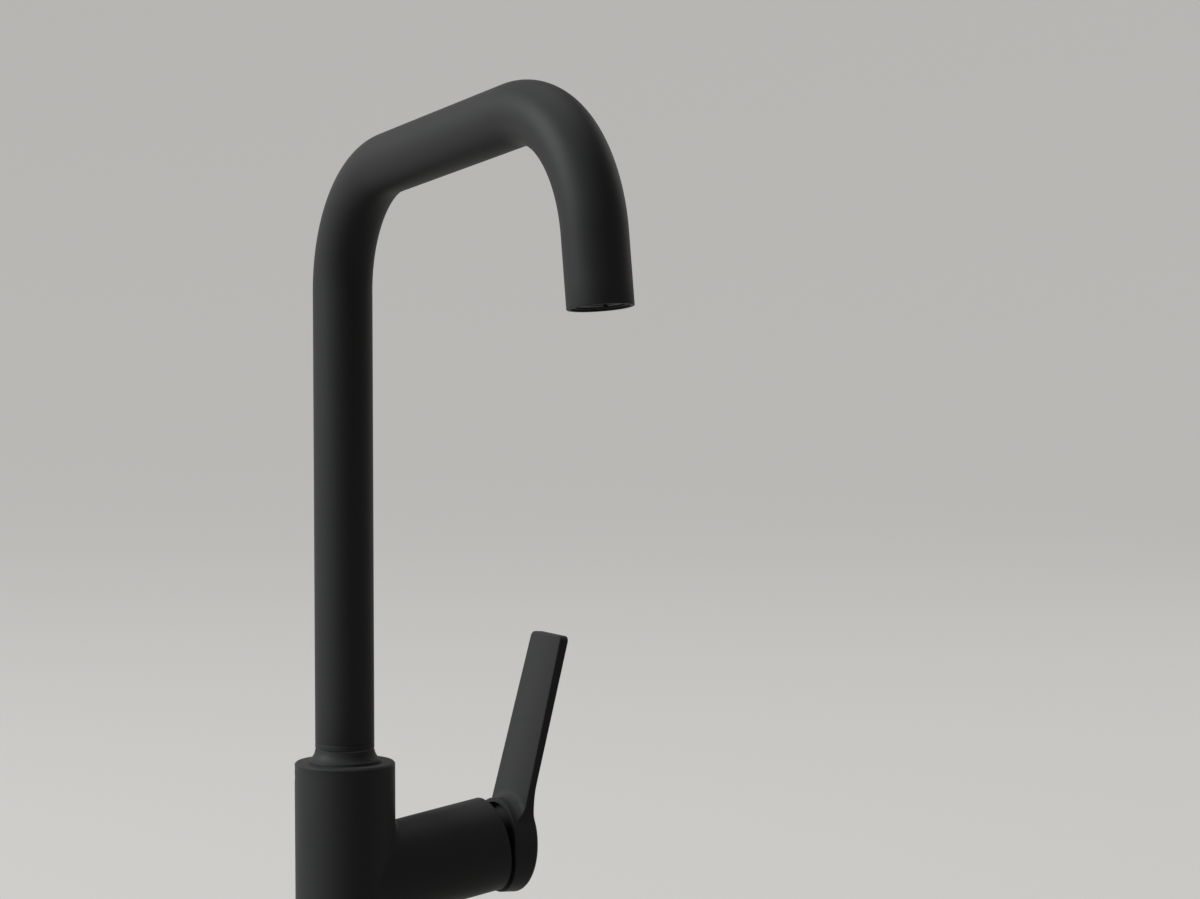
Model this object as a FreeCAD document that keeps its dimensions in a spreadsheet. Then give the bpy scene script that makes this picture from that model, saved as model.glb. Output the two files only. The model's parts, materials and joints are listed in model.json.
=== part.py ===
import FreeCAD
import Part
import Sketcher
import math
import os

# Kitchen tap: body with a side valve and lever, and a tall swivelling spout.
# Millimetres, +Z up. The origin is the centre of the base, on the deck's top face.
# The spout points to -Y and the valve boss to +X. The lever is drawn fully open.

SIZES = [
    # Column, base and deck fixing
    ("body_radius", 23.8, "radius of the column"),
    ("body_height", 122.0, "deck to the flat top of the column"),
    ("rim_chamfer", 0.8, "chamfer round the column's top and the boss's end"),
    ("base_ring_radius", 27.0, "radius of the ring under the column"),
    ("base_ring_height", 4.0, "height of the ring under the column"),
    ("base_seal_depth", 1.6, "depth of the seal's groove under the base ring"),
    ("base_seal_inner", 22.3, "inner radius of the seal's groove"),
    ("base_seal_width", 2.8, "width of the seal's groove"),
    ("shank_radius", 16.5, "outer radius of the threaded shank"),
    ("shank_wall", 3.0, "wall of the threaded shank"),
    ("shank_length", 62.0, "shank below the deck's top face"),
    ("shank_grip", 14.0, "shank screwed into the column"),
    ("deck_thickness", 30.0, "worktop that the tap is drawn on"),
    ("deck_gasket_thickness", 3.0, "rubber washer under the worktop"),
    ("deck_washer_thickness", 2.0, "steel washer under the rubber one"),
    ("deck_washer_radius", 26.0, "outer radius of both washers"),
    ("nut_flats", 50.0, "mounting nut across its flats"),
    ("nut_height", 9.0, "height of the mounting nut"),
    ("nut_gap", 6.0, "steel washer to the mounting nut"),
    ("jack_screw_radius", 2.5, "radius of a jack screw"),
    ("jack_screw_circle", 20.6, "radius that the jack screws stand on"),
    ("jack_screw_tail", 4.0, "jack screw below the mounting nut, without its head"),
    ("jack_head_radius", 4.2, "corners of a jack screw's head from its axis"),
    ("jack_head_height", 3.5, "height of a jack screw's head"),
    # Water ways
    ("inlet_radius", 4.5, "bore of an inlet's M10 x 1 thread"),
    ("inlet_depth", 12.0, "depth of an inlet's thread"),
    ("inlet_spread", 7.5, "inlet to the column's axis"),
    ("inlet_drop", 5.0, "inlet ports below the valve's axis"),
    ("outlet_rise", 7.5, "mixed port above the valve's axis"),
    ("channel_radius", 3.4, "radius of the inlet channels"),
    ("mixed_radius", 4.0, "radius of the mixed channel at the valve"),
    ("riser_bore_radius", 6.5, "radius of the bore below the spout's socket"),
    # Valve boss
    ("boss_radius", 22.9, "radius of the valve boss"),
    ("boss_length", 78.4, "column's axis to the boss's end"),
    ("boss_rise", 8.4, "slope of the boss above level, degrees"),
    ("boss_drop", 57.7, "column's top to where the boss's axis meets its own"),
    ("boss_fillet", 3.0, "fillet between boss and column"),
    ("valve_bore_depth", 42.4, "boss's end to the floor of the valve's bore"),
    ("nut_thread_radius", 19.2, "radius of the thread at the boss's mouth"),
    ("nut_thread_length", 12.4, "length of the thread at the boss's mouth"),
    # Valve cartridge
    ("cartridge_radius", 17.4, "outer radius of the cartridge"),
    ("cartridge_wall", 2.0, "wall of the cartridge's housing"),
    ("cartridge_base_height", 4.6, "height of the cartridge's base flange"),
    ("cartridge_base_spigot", 5.4, "base inside the housing"),
    ("cartridge_length", 29.6, "cartridge's floor to its shoulder"),
    ("cartridge_roof", 2.8, "thickness of the housing's roof"),
    ("neck_radius", 13.4, "outer radius of the housing's neck"),
    ("neck_length", 10.0, "length of the housing's neck"),
    ("disc_height", 4.0, "thickness of the fixed ceramic disc"),
    ("moving_disc_height", 3.5, "thickness of the moving ceramic disc"),
    ("moving_disc_radius", 11.5, "radius of the moving ceramic disc"),
    ("mixing_radius", 7.4, "radius of the hollow under the moving disc"),
    ("mixing_depth", 1.8, "depth of the hollow under the moving disc"),
    ("carrier_radius", 11.9, "radius of the disc carrier"),
    ("carrier_height", 5.5, "height of the disc carrier"),
    ("carrier_floor", 1.4, "carrier's floor under the spindle's ball"),
    ("rotor_radius", 10.5, "radius of the rotor's stem"),
    ("rotor_flange", 3.0, "thickness of the rotor's flange"),
    ("rotor_end", 2.0, "rotor beyond the housing's neck"),
    ("rotor_lift", 0.4, "rotor's cheeks above the moving disc"),
    ("rotor_slot_spare", 1.0, "rotor's slot beyond the spindle's ball"),
    ("pin_recess", 0.3, "pivot pin's ends inside the rotor"),
    ("seal_section", 1.7, "width of a port seal"),
    ("seal_height", 2.0, "height of a port seal"),
    ("seal_proud", 0.4, "port seal proud of the cartridge's base"),
    ("retaining_nut_height", 10.4, "height of the cartridge's nut"),
    ("retaining_nut_hexagon", 4.5, "height of that nut's hexagon"),
    ("retaining_nut_flats", 32.0, "that nut across its flats"),
    ("dome_height", 3.2, "height of the trim dome on the nut"),
    ("dome_wall", 1.2, "wall of the trim dome"),
    ("dome_arc", 14.0, "radius of the trim dome's curve"),
    ("limit_ring_height", 1.7, "height of the temperature limit ring"),
    ("limit_ring_radius", 13.1, "radius of the temperature limit ring"),
    ("limit_notches", 16, "number of notches round the limit ring"),
    ("limit_notch_width", 1.2, "width of a notch in the limit ring"),
    ("limit_notch_depth", 0.8, "depth of a notch in the limit ring"),
    # Lever
    ("hub_tilt", 12.5, "lever's hub below the boss's axis when open, degrees"),
    ("hub_gap", 1.9, "boss's end to the hub at its middle when open"),
    ("hub_radius", 22.9, "radius of the lever's hub"),
    ("hub_skirt", 2.0, "wall of the hub's skirt"),
    ("hub_thickness", 13.1, "length of the hub"),
    ("hub_hollow", 4.5, "depth of the hollow behind the hub"),
    ("hub_relief_angle", 10.0, "slope of the relief under the hub, degrees"),
    ("hub_rounding", 2.2, "rounding of the hub's outer rim"),
    ("hub_socket_collar", 2.5, "collar round the spindle's socket"),
    ("hub_socket_radius", 8.0, "radius of that collar"),
    ("pivot_depth", 5.5, "hub's back to the lever's pivot"),
    ("paddle_reach", 103.6, "pivot to the tip of the paddle"),
    ("paddle_offset", 13.0, "pivot to the paddle's inner face at the hub"),
    ("paddle_lean", 10.45, "paddle off square to the hub's axis, degrees"),
    ("paddle_tip_width", 29.2, "width of the paddle at its tip"),
    ("paddle_root_width", 34.4, "width of the paddle at the hub"),
    ("paddle_tip_thickness", 4.9, "thickness of the paddle at its tip"),
    ("paddle_root_thickness", 3.7, "thickness of the paddle at the hub"),
    ("paddle_corner", 3.0, "rounding of the paddle's tip corners"),
    ("paddle_root_depth", 9.2, "paddle's root inside the hub's rim"),
    ("paddle_root_fillet", 4.5, "hollow where the paddle meets the hub"),
    ("neck_hollow", 50.0, "radius of the hollow on the outer side, between hub and paddle"),
    ("neck_shoulder", 15.0, "radius of the shoulder that leads from the hub's face to that hollow"),
    ("neck_sink", 0.95, "depth of that hollow below the hub's face"),
    ("spindle_width", 8.0, "width of the square spindle"),
    ("spindle_length", 16.3, "pivot to the end of the spindle"),
    ("spindle_end_gap", 0.3, "spindle's end to its socket's floor"),
    ("spindle_arm", 15.0, "pivot to the middle of the spindle's ball"),
    ("spindle_arm_radius", 3.0, "radius of the spindle's inner arm"),
    ("spindle_ball_radius", 3.7, "radius of the spindle's ball"),
    ("pivot_pin_radius", 1.95, "radius of the pivot pin"),
    ("set_screw_radius", 2.45, "radius of the lever's set screw"),
    ("set_screw_length", 8.0, "length of the lever's set screw"),
    ("set_screw_depth", 7.3, "hub's back to the set screw's axis"),
    ("plug_radius", 2.9, "radius of the plug over the set screw"),
    ("plug_length", 3.0, "length of the plug over the set screw"),
    ("plug_recess", 0.3, "plug's face inside the hub's rim"),
    ("key_socket_radius", 1.25, "radius of the key's socket in a screw"),
    ("key_socket_depth", 2.5, "depth of the key's socket in a screw"),
    # Spout
    ("tube_radius", 14.0, "outer radius of the spout's tube"),
    ("tube_wall", 1.7, "wall of the spout's tube"),
    ("riser_top", 222.6, "column's top to the start of the first bend"),
    ("bend_radius", 60.0, "radius of both bends, on the tube's axis"),
    ("arm_rise", 8.6, "slope of the spout's arm above level, degrees"),
    ("arm_length", 118.0, "straight run of the arm"),
    ("outlet_length", 30.5, "straight run at the outlet"),
    ("collar_radius", 17.2, "radius of the collar at the column"),
    ("collar_height", 6.0, "height of the collar"),
    ("collar_flare", 7.0, "radius of the collar's hollow flare"),
    ("collar_edge", 0.9, "upright edge at the collar's foot"),
    ("collar_spigot_radius", 15.0, "radius of the collar's threaded spigot"),
    ("collar_spigot_length", 10.0, "length of the collar's threaded spigot"),
    ("glide_thickness", 0.6, "thickness of the upper glide ring"),
    ("glide_recess", 0.5, "glide ring inside the collar's edge"),
    ("foot_flange", 1.4, "flange of the spout's foot under the tube"),
    ("foot_radius", 11.5, "radius of the spout's foot in its socket"),
    ("foot_bore", 8.0, "bore of the spout's foot"),
    ("foot_sleeve", 15.0, "foot inside the tube"),
    ("foot_lift", 0.8, "spout's foot above its socket's floor"),
    ("socket_depth", 33.5, "column's top to the socket's floor"),
    ("snap_groove_height", 1.4, "height of the snap ring's groove"),
    ("snap_ring_radius", 12.9, "outer radius of the snap ring"),
    ("snap_ring_angle", 320.0, "turn that the split snap ring makes, degrees"),
    ("snap_groove_depth", 1.3, "depth of the snap ring's groove"),
    ("snap_room", 2.0, "collar's bore below the snap ring"),
    ("stop_slot_height", 3.4, "height of the stop's slot"),
    ("stop_slot_depth", 2.3, "depth of the stop's slot"),
    ("stop_slot_level", 18.0, "column's top to the stop screw"),
    ("stop_point_radius", 1.5, "radius of the stop screw's point"),
    ("stop_screw_radius", 2.5, "radius of the stop screw"),
    ("stop_screw_sink", 0.8, "stop screw below the column's face"),
    ("stop_tip_gap", 0.4, "stop screw's point above its slot's floor"),
    ("stop_shoulder_gap", 1.0, "foot's face to the stop screw's shoulder"),
    ("swivel_half_angle", 75.0, "swivel to either side, degrees"),
    ("stop_slot_spare_angle", 1.0, "slot beyond the stop screw's point at either limit, degrees"),
    ("ring_groove_depth", 2.2, "depth of the seals' grooves"),
    ("ring_groove_height", 2.6, "height of the seals' grooves"),
    ("lower_ring_level", 1.4, "foot's end to its first seal's groove"),
    ("ring_pitch", 4.3, "one seal's groove to the next"),
    ("glide_groove_depth", 1.5, "depth of the lower glide ring's groove"),
    ("glide_groove_height", 2.2, "height of the lower glide ring's groove"),
    ("glide_ring_angle", 345.0, "turn that the split lower glide ring makes, degrees"),
    # Outlet
    ("insert_length", 15.0, "length of the outlet's threaded insert"),
    ("insert_recess", 0.8, "insert inside the tube's mouth"),
    ("insert_thread_radius", 10.6, "thread radius inside the insert"),
    ("insert_lip", 1.8, "thickness of the insert's inner lip"),
    ("aerator_recess", 1.5, "aerator inside the tube's mouth"),
    ("aerator_length", 10.4, "length of the aerator's housing"),
    ("aerator_wall", 2.4, "wall of the aerator's housing"),
    ("core_length", 7.0, "length of the aerator's core"),
    ("core_recess", 1.2, "core inside the aerator's housing"),
    ("core_hole", 1.6, "radius of a hole in the aerator's core"),
    ("core_hole_circle", 4.7, "radius that the core's outer holes stand on"),
    ("regulator_height", 1.6, "thickness of the flow regulator"),
    ("regulator_hole", 2.0, "radius of the flow regulator's hole"),
    # Clearances
    ("running_gap", 0.08, "round a part that turns"),
    ("face_gap", 0.05, "between faces that slide or press"),
    ("thread_gap", 0.05, "round a thread"),
    ("slide_gap", 0.15, "beside a part that slides"),
]


class Size:
    """A number, together with the expression that gives it from the sheet."""

    def __init__(self, text, value):
        self.text = text
        self.value = value

    def joined(self, sign, other, value):
        return Size("(%s %s %s)" % (self.text, sign, as_size(other).text), value)

    def __add__(self, other):
        return self.joined("+", other, self.value + as_size(other).value)

    def __sub__(self, other):
        return self.joined("-", other, self.value - as_size(other).value)

    def __mul__(self, other):
        return self.joined("*", other, self.value * as_size(other).value)

    def __truediv__(self, other):
        return self.joined("/", other, self.value / as_size(other).value)

    def __rsub__(self, other):
        return as_size(other) - self

    def __rtruediv__(self, other):
        return as_size(other) / self

    def __neg__(self):
        return as_size(0) - self


def as_size(number):
    return number if isinstance(number, Size) else Size("(%s)" % number, float(number))


def sine(angle):
    return Size("sin(%s)" % angle.text, math.sin(math.radians(angle.value)))


def cosine(angle):
    return Size("cos(%s)" % angle.text, math.cos(math.radians(angle.value)))


def tangent(angle):
    return Size("tan(%s)" % angle.text, math.tan(math.radians(angle.value)))


def arcsine(size):
    return Size("(asin(%s) / (1 deg))" % size.text, math.degrees(math.asin(size.value)))


def square_root(size):
    return Size("sqrt(%s)" % size.text, math.sqrt(size.value))


class Sizes:
    """The sheet of driving sizes, read as attributes."""

    def __init__(self, document):
        sheet = document.addObject("Spreadsheet::Sheet", "Sizes")
        self.table = {}
        for row, (alias, value, meaning) in enumerate(SIZES, 1):
            sheet.set("A%d" % row, meaning)
            sheet.set("B%d" % row, str(value))
            sheet.setAlias("B%d" % row, alias)
            self.table[alias] = Size("Sizes.%s" % alias, value)
        document.recompute()

    def __getattr__(self, alias):
        return self.table[alias]


JACK_SCREWS = 3
SPOUT_SEALS = 2
OUTER_CORE_HOLES = 6
# How far a cutting outline stands outside the solid that it cuts.
CUT_PAST = 2.0
# How near two points must lie to count as one.
NEAR = 0.01

doc = FreeCAD.newDocument("tap")
s = Sizes(doc)
nodes = []


# Tools for sketches and features

def bind(thing, path, size):
    thing.setExpression(path, as_size(size).text)


def new_body(label, is_node=True):
    body = doc.addObject("PartDesign::Body", label)
    body.Label = label
    if is_node:
        nodes.append(body)
    return body


def grouped(label, solids):
    """One node that holds several like solids."""
    group = doc.addObject("Part::Compound", label)
    group.Label = label
    group.Links = solids
    nodes.append(group)
    return group


def around(radius, count, start=0):
    """Places evenly spaced on a circle about the origin, from a start angle in degrees."""
    turns = [math.radians(start + 360 / count * number) for number in range(count)]
    return [(radius * round(math.cos(turn), 9), radius * round(math.sin(turn), 9)) for turn in turns]


def new_sketch(body, role, name, level=0, offset=None, turn=None):
    """A sketch on one of the body's origin planes, lifted by level or set by offset and turn."""
    sketch = body.newObject("Sketcher::SketchObject", name)
    plane = [f for f in body.Origin.OriginFeatures if f.Role == role][0]
    sketch.AttachmentSupport = [(plane, "")]
    sketch.MapMode = "FlatFace"
    across, along, out = offset or (0, 0, level)
    if turn is not None:
        sketch.AttachmentOffset = FreeCAD.Placement(
            FreeCAD.Vector(0, 0, 0), FreeCAD.Rotation(FreeCAD.Vector(1, 0, 0), turn.value))
        bind(sketch, "AttachmentOffset.Rotation.Angle", turn)
    bind(sketch, "AttachmentOffset.Base.x", across)
    bind(sketch, "AttachmentOffset.Base.y", along)
    bind(sketch, "AttachmentOffset.Base.z", out)
    return sketch


def pin_point(sketch, curve, end, place):
    """Holds one end of a curve at a place given by two sizes."""
    for kind, axis, size in (("DistanceX", -2, place[0]), ("DistanceY", -1, place[1])):
        size = as_size(size)
        if size.value == 0:
            sketch.addConstraint(Sketcher.Constraint("PointOnObject", curve, end, axis))
        else:
            index = sketch.addConstraint(Sketcher.Constraint(kind, -1, 1, curve, end, size.value))
            sketch.setExpression("Constraints[%d]" % index, size.text)


def outline(sketch, points):
    """A closed outline. A point is (x, y), or (x, y, radius) where an arc leads on from it:
    a positive radius bows to the left of the way round, a negative one to the right."""
    count = len(points)
    curves = []
    for number, point in enumerate(points):
        after = points[(number + 1) % count]
        begin = FreeCAD.Vector(as_size(point[0]).value, as_size(point[1]).value, 0)
        end = FreeCAD.Vector(as_size(after[0]).value, as_size(after[1]).value, 0)
        if len(point) == 2:
            curves.append((sketch.addGeometry(Part.LineSegment(begin, end)), 1, 2))
            continue
        radius = as_size(point[2])
        half = (end - begin) * 0.5
        left = FreeCAD.Vector(-half.y, half.x, 0).normalize()
        rise = abs(radius.value) - math.sqrt(radius.value ** 2 - half.Length ** 2)
        middle = begin + half + left * math.copysign(rise, radius.value)
        curve = sketch.addGeometry(Part.Arc(begin, middle, end))
        forward = sketch.getPoint(curve, 1).distanceToPoint(begin) < 1e-6
        curves.append((curve, 1, 2) if forward else (curve, 2, 1))
        index = sketch.addConstraint(Sketcher.Constraint("Radius", curve, abs(radius.value)))
        size = radius if radius.value > 0 else -radius
        sketch.setExpression("Constraints[%d]" % index, size.text)
    for number, (curve, start, finish) in enumerate(curves):
        following = curves[(number + 1) % count]
        sketch.addConstraint(Sketcher.Constraint("Coincident", curve, finish, following[0], following[1]))
        pin_point(sketch, curve, start, points[number][:2])


def ring(sketch, radius, centre=(0, 0)):
    """A circle held by its centre and radius."""
    middle = FreeCAD.Vector(as_size(centre[0]).value, as_size(centre[1]).value, 0)
    curve = sketch.addGeometry(Part.Circle(middle, FreeCAD.Vector(0, 0, 1), as_size(radius).value))
    index = sketch.addConstraint(Sketcher.Constraint("Radius", curve, as_size(radius).value))
    sketch.setExpression("Constraints[%d]" % index, as_size(radius).text)
    pin_point(sketch, curve, 3, centre)


def block(sketch, half_width, half_height, centre=(0, 0)):
    """A rectangle about its centre."""
    x, y = centre
    x, y = as_size(x), as_size(y)
    outline(sketch, [(x - half_width, y - half_height), (x + half_width, y - half_height),
                     (x + half_width, y + half_height), (x - half_width, y + half_height)])


def hexagon(sketch, flats):
    """A regular hexagon about the origin, with two corners on the sketch's own x axis."""
    outline(sketch, around(flats / math.sqrt(3), 6))


def changed(body, feature, adds):
    """Recomputes, and stops if the feature left the solid's volume as it was."""
    before = feature.BaseFeature.Shape.Volume if feature.BaseFeature else 0
    doc.recompute()
    after = feature.Shape.Volume
    if (after <= before) if adds else (after >= before):
        raise RuntimeError("%s: %s changed nothing" % (body.Label, feature.Name))
    return feature


def revolve(body, sketch, angle=360, cut=False, axis="V_Axis"):
    kind = "PartDesign::Groove" if cut else "PartDesign::Revolution"
    feature = body.newObject(kind, "Groove" if cut else "Turning")
    feature.Profile = sketch
    feature.ReferenceAxis = (sketch, [axis])
    feature.Angle = as_size(angle).value
    bind(feature, "Angle", angle)
    return changed(body, feature, not cut)


def pad(body, sketch, length, reverse=False, middle=False):
    feature = body.newObject("PartDesign::Pad", "Pad")
    feature.Profile = sketch
    bind(feature, "Length", length)
    feature.Reversed = reverse
    feature.Midplane = middle
    return changed(body, feature, True)


def pocket(body, sketch, length=None, reverse=False, middle=False):
    feature = body.newObject("PartDesign::Pocket", "Pocket")
    feature.Profile = sketch
    if length is None:
        feature.Type = "ThroughAll"
    else:
        bind(feature, "Length", length)
    feature.Reversed = reverse
    feature.Midplane = middle
    return changed(body, feature, False)


def edges_where(feature, test):
    """Names of the edges whose middle point and curve pass a test."""
    names = []
    for number, edge in enumerate(feature.Shape.Edges, 1):
        middle = edge.valueAt((edge.FirstParameter + edge.LastParameter) / 2)
        if test(edge, middle):
            names.append("Edge%d" % number)
    return names


def round_edges(body, base, test, radius, kind="PartDesign::Fillet"):
    names = edges_where(base, test)
    feature = body.newObject(kind, kind.split("::")[1])
    feature.Base = (base, names)
    path = "Radius" if kind.endswith("Fillet") else "Size"
    bind(feature, path, radius)
    doc.recompute()
    if not feature.Shape.isValid() or abs(feature.Shape.Volume - base.Shape.Volume) < 1e-3:
        raise RuntimeError("%s: no edge was rounded" % body.Label)
    return feature


# Frames that pieces are placed in

def place(thing, base=(0, 0, 0), axis=None, angle=None):
    """Sets a placement by expressions, turned about an axis through its base."""
    if axis is not None:
        thing.Placement = FreeCAD.Placement(
            FreeCAD.Vector(0, 0, 0), FreeCAD.Rotation(FreeCAD.Vector(*axis), as_size(angle).value))
        bind(thing, "Placement.Rotation.Angle", angle)
    for letter, size in zip("xyz", base):
        bind(thing, "Placement.Base.%s" % letter, size)


axis_height = s.body_height - s.boss_drop
valve_floor = s.boss_length - s.valve_bore_depth


def boss_point(along):
    """A point on the valve's axis, this far from the column's axis."""
    return (cosine(s.boss_rise) * along, 0, axis_height + sine(s.boss_rise) * along)


def place_on_valve(thing):
    """Local z runs out along the valve's axis from the column's axis, and local x points down."""
    place(thing, boss_point(0), (0, 1, 0), 90 - s.boss_rise)


pivot_at = s.boss_length + s.hub_gap - s.pivot_depth * cosine(s.hub_tilt)


def place_on_lever(thing):
    """Local z runs out along the hub's axis from the pivot, and local x points down."""
    place(thing, boss_point(pivot_at), (0, 1, 0), 90 - s.boss_rise + s.hub_tilt)


spout_base = s.body_height + s.collar_height + s.face_gap + s.glide_thickness + s.face_gap
tube_base = spout_base + s.foot_flange
outlet_reach = (s.bend_radius * (cosine(s.arm_rise) + 1) + s.arm_length * cosine(s.arm_rise)
                + s.outlet_length * sine(s.arm_rise))
outlet_height = (s.body_height + s.riser_top + (s.arm_length + s.bend_radius) * sine(s.arm_rise)
                 - s.outlet_length * cosine(s.arm_rise))


def place_at_outlet(thing):
    """Local z runs up the tube's axis from the centre of its mouth."""
    place(thing, (0, -outlet_reach, outlet_height), (1, 0, 0), -s.arm_rise)


def turned(label, points, where=place, angle=360, is_node=True):
    """A piece of revolution about its own z axis, from (radius, height) points."""
    body = new_body(label, is_node)
    sketch = new_sketch(body, "XZ_Plane", "Profile")
    outline(sketch, points)
    revolve(body, sketch, angle)
    where(body)
    return body


# Column with its valve boss

shank_top = s.base_ring_height + s.shank_grip
socket_floor = s.body_height - s.socket_depth
collar_bore_depth = s.collar_spigot_length + s.snap_groove_height + s.face_gap + s.snap_room
port_angle = -s.boss_rise


def valve_sketch(body, name, along):
    """A sketch square to the valve's axis in the column's frame: x is +Y, y is up."""
    x, _, z = boss_point(along)
    return new_sketch(body, "YZ_Plane", name, offset=(0, z, x), turn=port_angle)


def body_casting():
    body = new_body("body_casting")
    column = new_sketch(body, "XZ_Plane", "Column")
    outline(column, [
        (0, s.base_ring_height), (s.body_radius, s.base_ring_height),
        (s.body_radius, s.body_height - s.rim_chamfer),
        (s.body_radius - s.rim_chamfer, s.body_height), (0, s.body_height)])
    revolve(body, column)
    boss = valve_sketch(body, "Boss", as_size(0))
    ring(boss, s.boss_radius)
    joined = pad(body, boss, s.boss_length)

    def at_the_join(edge, middle):
        # Both cylinders meet in a curve that is neither a circle nor a line.
        return not isinstance(edge.Curve, (Part.Circle, Part.Line))

    smooth = round_edges(body, joined, at_the_join, s.boss_fillet)

    def at_boss_end(edge, middle):
        tip = FreeCAD.Vector(*[as_size(v).value for v in boss_point(s.boss_length)])
        return isinstance(edge.Curve, Part.Circle) and edge.Curve.Center.distanceToPoint(tip) < NEAR

    round_edges(body, smooth, at_boss_end, s.rim_chamfer, "PartDesign::Chamfer")

    socket = new_sketch(body, "XZ_Plane", "Socket")
    thread = s.collar_spigot_radius + s.thread_gap
    bore = s.foot_radius + s.running_gap
    step = s.body_height - collar_bore_depth
    mixed_level = axis_height + s.outlet_rise
    outline(socket, [
        (0, mixed_level), (s.riser_bore_radius, mixed_level),
        (s.riser_bore_radius, socket_floor), (bore, socket_floor), (bore, step),
        (thread, step), (thread, s.body_height), (0, s.body_height)])
    revolve(body, socket, cut=True)

    underside = new_sketch(body, "XZ_Plane", "Underside")
    outline(underside, [
        (0, s.base_ring_height), (s.shank_radius + s.thread_gap, s.base_ring_height),
        (s.shank_radius + s.thread_gap, shank_top), (0, shank_top)])
    revolve(body, underside, cut=True)

    mouth = valve_sketch(body, "Mouth", s.boss_length)
    ring(mouth, s.nut_thread_radius)
    pocket(body, mouth, s.nut_thread_length)
    bore_sketch = valve_sketch(body, "ValveBore", s.boss_length)
    ring(bore_sketch, s.cartridge_radius + s.slide_gap)
    pocket(body, bore_sketch, s.valve_bore_depth)

    inlets = new_sketch(body, "XY_Plane", "Inlets", level=shank_top)
    rises = new_sketch(body, "XY_Plane", "InletRises", level=shank_top)
    ports = valve_sketch(body, "InletPorts", valve_floor)
    for side in (-1, 1):
        ring(inlets, s.inlet_radius, (0, s.inlet_spread * side))
        ring(rises, s.channel_radius, (0, s.inlet_spread * side))
        ring(ports, s.channel_radius, (s.inlet_spread * side, -s.inlet_drop))
    pocket(body, inlets, s.inlet_depth, reverse=True)
    pocket(body, rises, axis_height - s.inlet_drop - shank_top + s.channel_radius / 2, reverse=True)
    pocket(body, ports, valve_floor + s.channel_radius)

    mixed = valve_sketch(body, "MixedPort", valve_floor)
    ring(mixed, s.mixed_radius, (0, s.outlet_rise))
    pocket(body, mixed, valve_floor + s.riser_bore_radius / 2)

    stop = new_sketch(body, "XZ_Plane", "StopScrewHole")
    ring(stop, s.stop_screw_radius + s.thread_gap, (0, s.body_height - s.stop_slot_level))
    pocket(body, stop)
    return body


# Base and deck fixing

def base_pieces():
    seal_outer = s.base_seal_inner + s.base_seal_width
    bore = s.shank_radius + s.thread_gap + s.slide_gap
    turned("base_ring", [
        (bore, 0), (s.base_seal_inner, 0), (s.base_seal_inner, s.base_seal_depth),
        (seal_outer, s.base_seal_depth), (seal_outer, 0), (s.base_ring_radius, 0),
        (s.base_ring_radius, s.base_ring_height - s.rim_chamfer),
        (s.base_ring_radius - s.rim_chamfer, s.base_ring_height), (bore, s.base_ring_height)])
    turned("base_seal", [
        (s.base_seal_inner + s.face_gap, 0), (seal_outer - s.face_gap, 0),
        (seal_outer - s.face_gap, s.base_seal_depth - s.face_gap),
        (s.base_seal_inner + s.face_gap, s.base_seal_depth - s.face_gap)])
    inner = s.shank_radius - s.shank_wall
    turned("threaded_shank", [
        (inner, -s.shank_length), (s.shank_radius, -s.shank_length),
        (s.shank_radius, shank_top), (inner, shank_top)])
    gasket_top = -s.deck_thickness
    gasket_foot = gasket_top - s.deck_gasket_thickness
    washer_foot = gasket_foot - s.deck_washer_thickness
    turned("deck_gasket", [
        (bore, gasket_foot), (s.deck_washer_radius, gasket_foot),
        (s.deck_washer_radius, gasket_top), (bore, gasket_top)])
    turned("deck_washer", [
        (bore, washer_foot), (s.deck_washer_radius, washer_foot),
        (s.deck_washer_radius, gasket_foot), (bore, gasket_foot)])

    nut = new_body("mounting_nut")
    flats = new_sketch(nut, "XY_Plane", "Flats")
    hexagon(flats, s.nut_flats)
    pad(nut, flats, s.nut_height)
    holes = new_sketch(nut, "XY_Plane", "Holes")
    ring(holes, s.shank_radius + s.thread_gap)
    # The first jack screw stands in a corner between two flats, where the nut is widest.
    screw_places = around(s.jack_screw_circle, JACK_SCREWS, start=-90)
    for centre in screw_places:
        ring(holes, s.jack_screw_radius + s.thread_gap, centre)
    pocket(nut, holes, reverse=True)
    nut_foot = washer_foot - s.nut_gap - s.nut_height
    place(nut, (0, 0, nut_foot))

    screw_foot = nut_foot - s.jack_screw_tail
    screws = []
    for number, (x, y) in enumerate(screw_places):
        shaft = doc.addObject("Part::Cylinder", "JackShaft%d" % number)
        bind(shaft, "Radius", s.jack_screw_radius)
        bind(shaft, "Height", washer_foot - screw_foot)
        place(shaft, (x, y, screw_foot))
        head = doc.addObject("Part::Prism", "JackHead%d" % number)
        head.Polygon = 6
        bind(head, "Circumradius", s.jack_head_radius)
        bind(head, "Height", s.jack_head_height)
        place(head, (x, y, screw_foot - s.jack_head_height))
        screw = doc.addObject("Part::Fuse", "JackScrew%d" % number)
        screw.Base = shaft
        screw.Tool = head
        screws.append(screw)
    grouped("nut_jack_screws", screws)


# Swivel at the top of the column

foot_end = socket_floor + s.foot_lift
snap_level = s.body_height - s.collar_spigot_length - s.snap_groove_height - s.face_gap
stop_level = s.body_height - s.stop_slot_level
glide_level = foot_end + s.lower_ring_level + s.ring_pitch * SPOUT_SEALS
slot_floor = s.foot_radius - s.stop_slot_depth
stop_tip = slot_floor + s.stop_tip_gap


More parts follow.
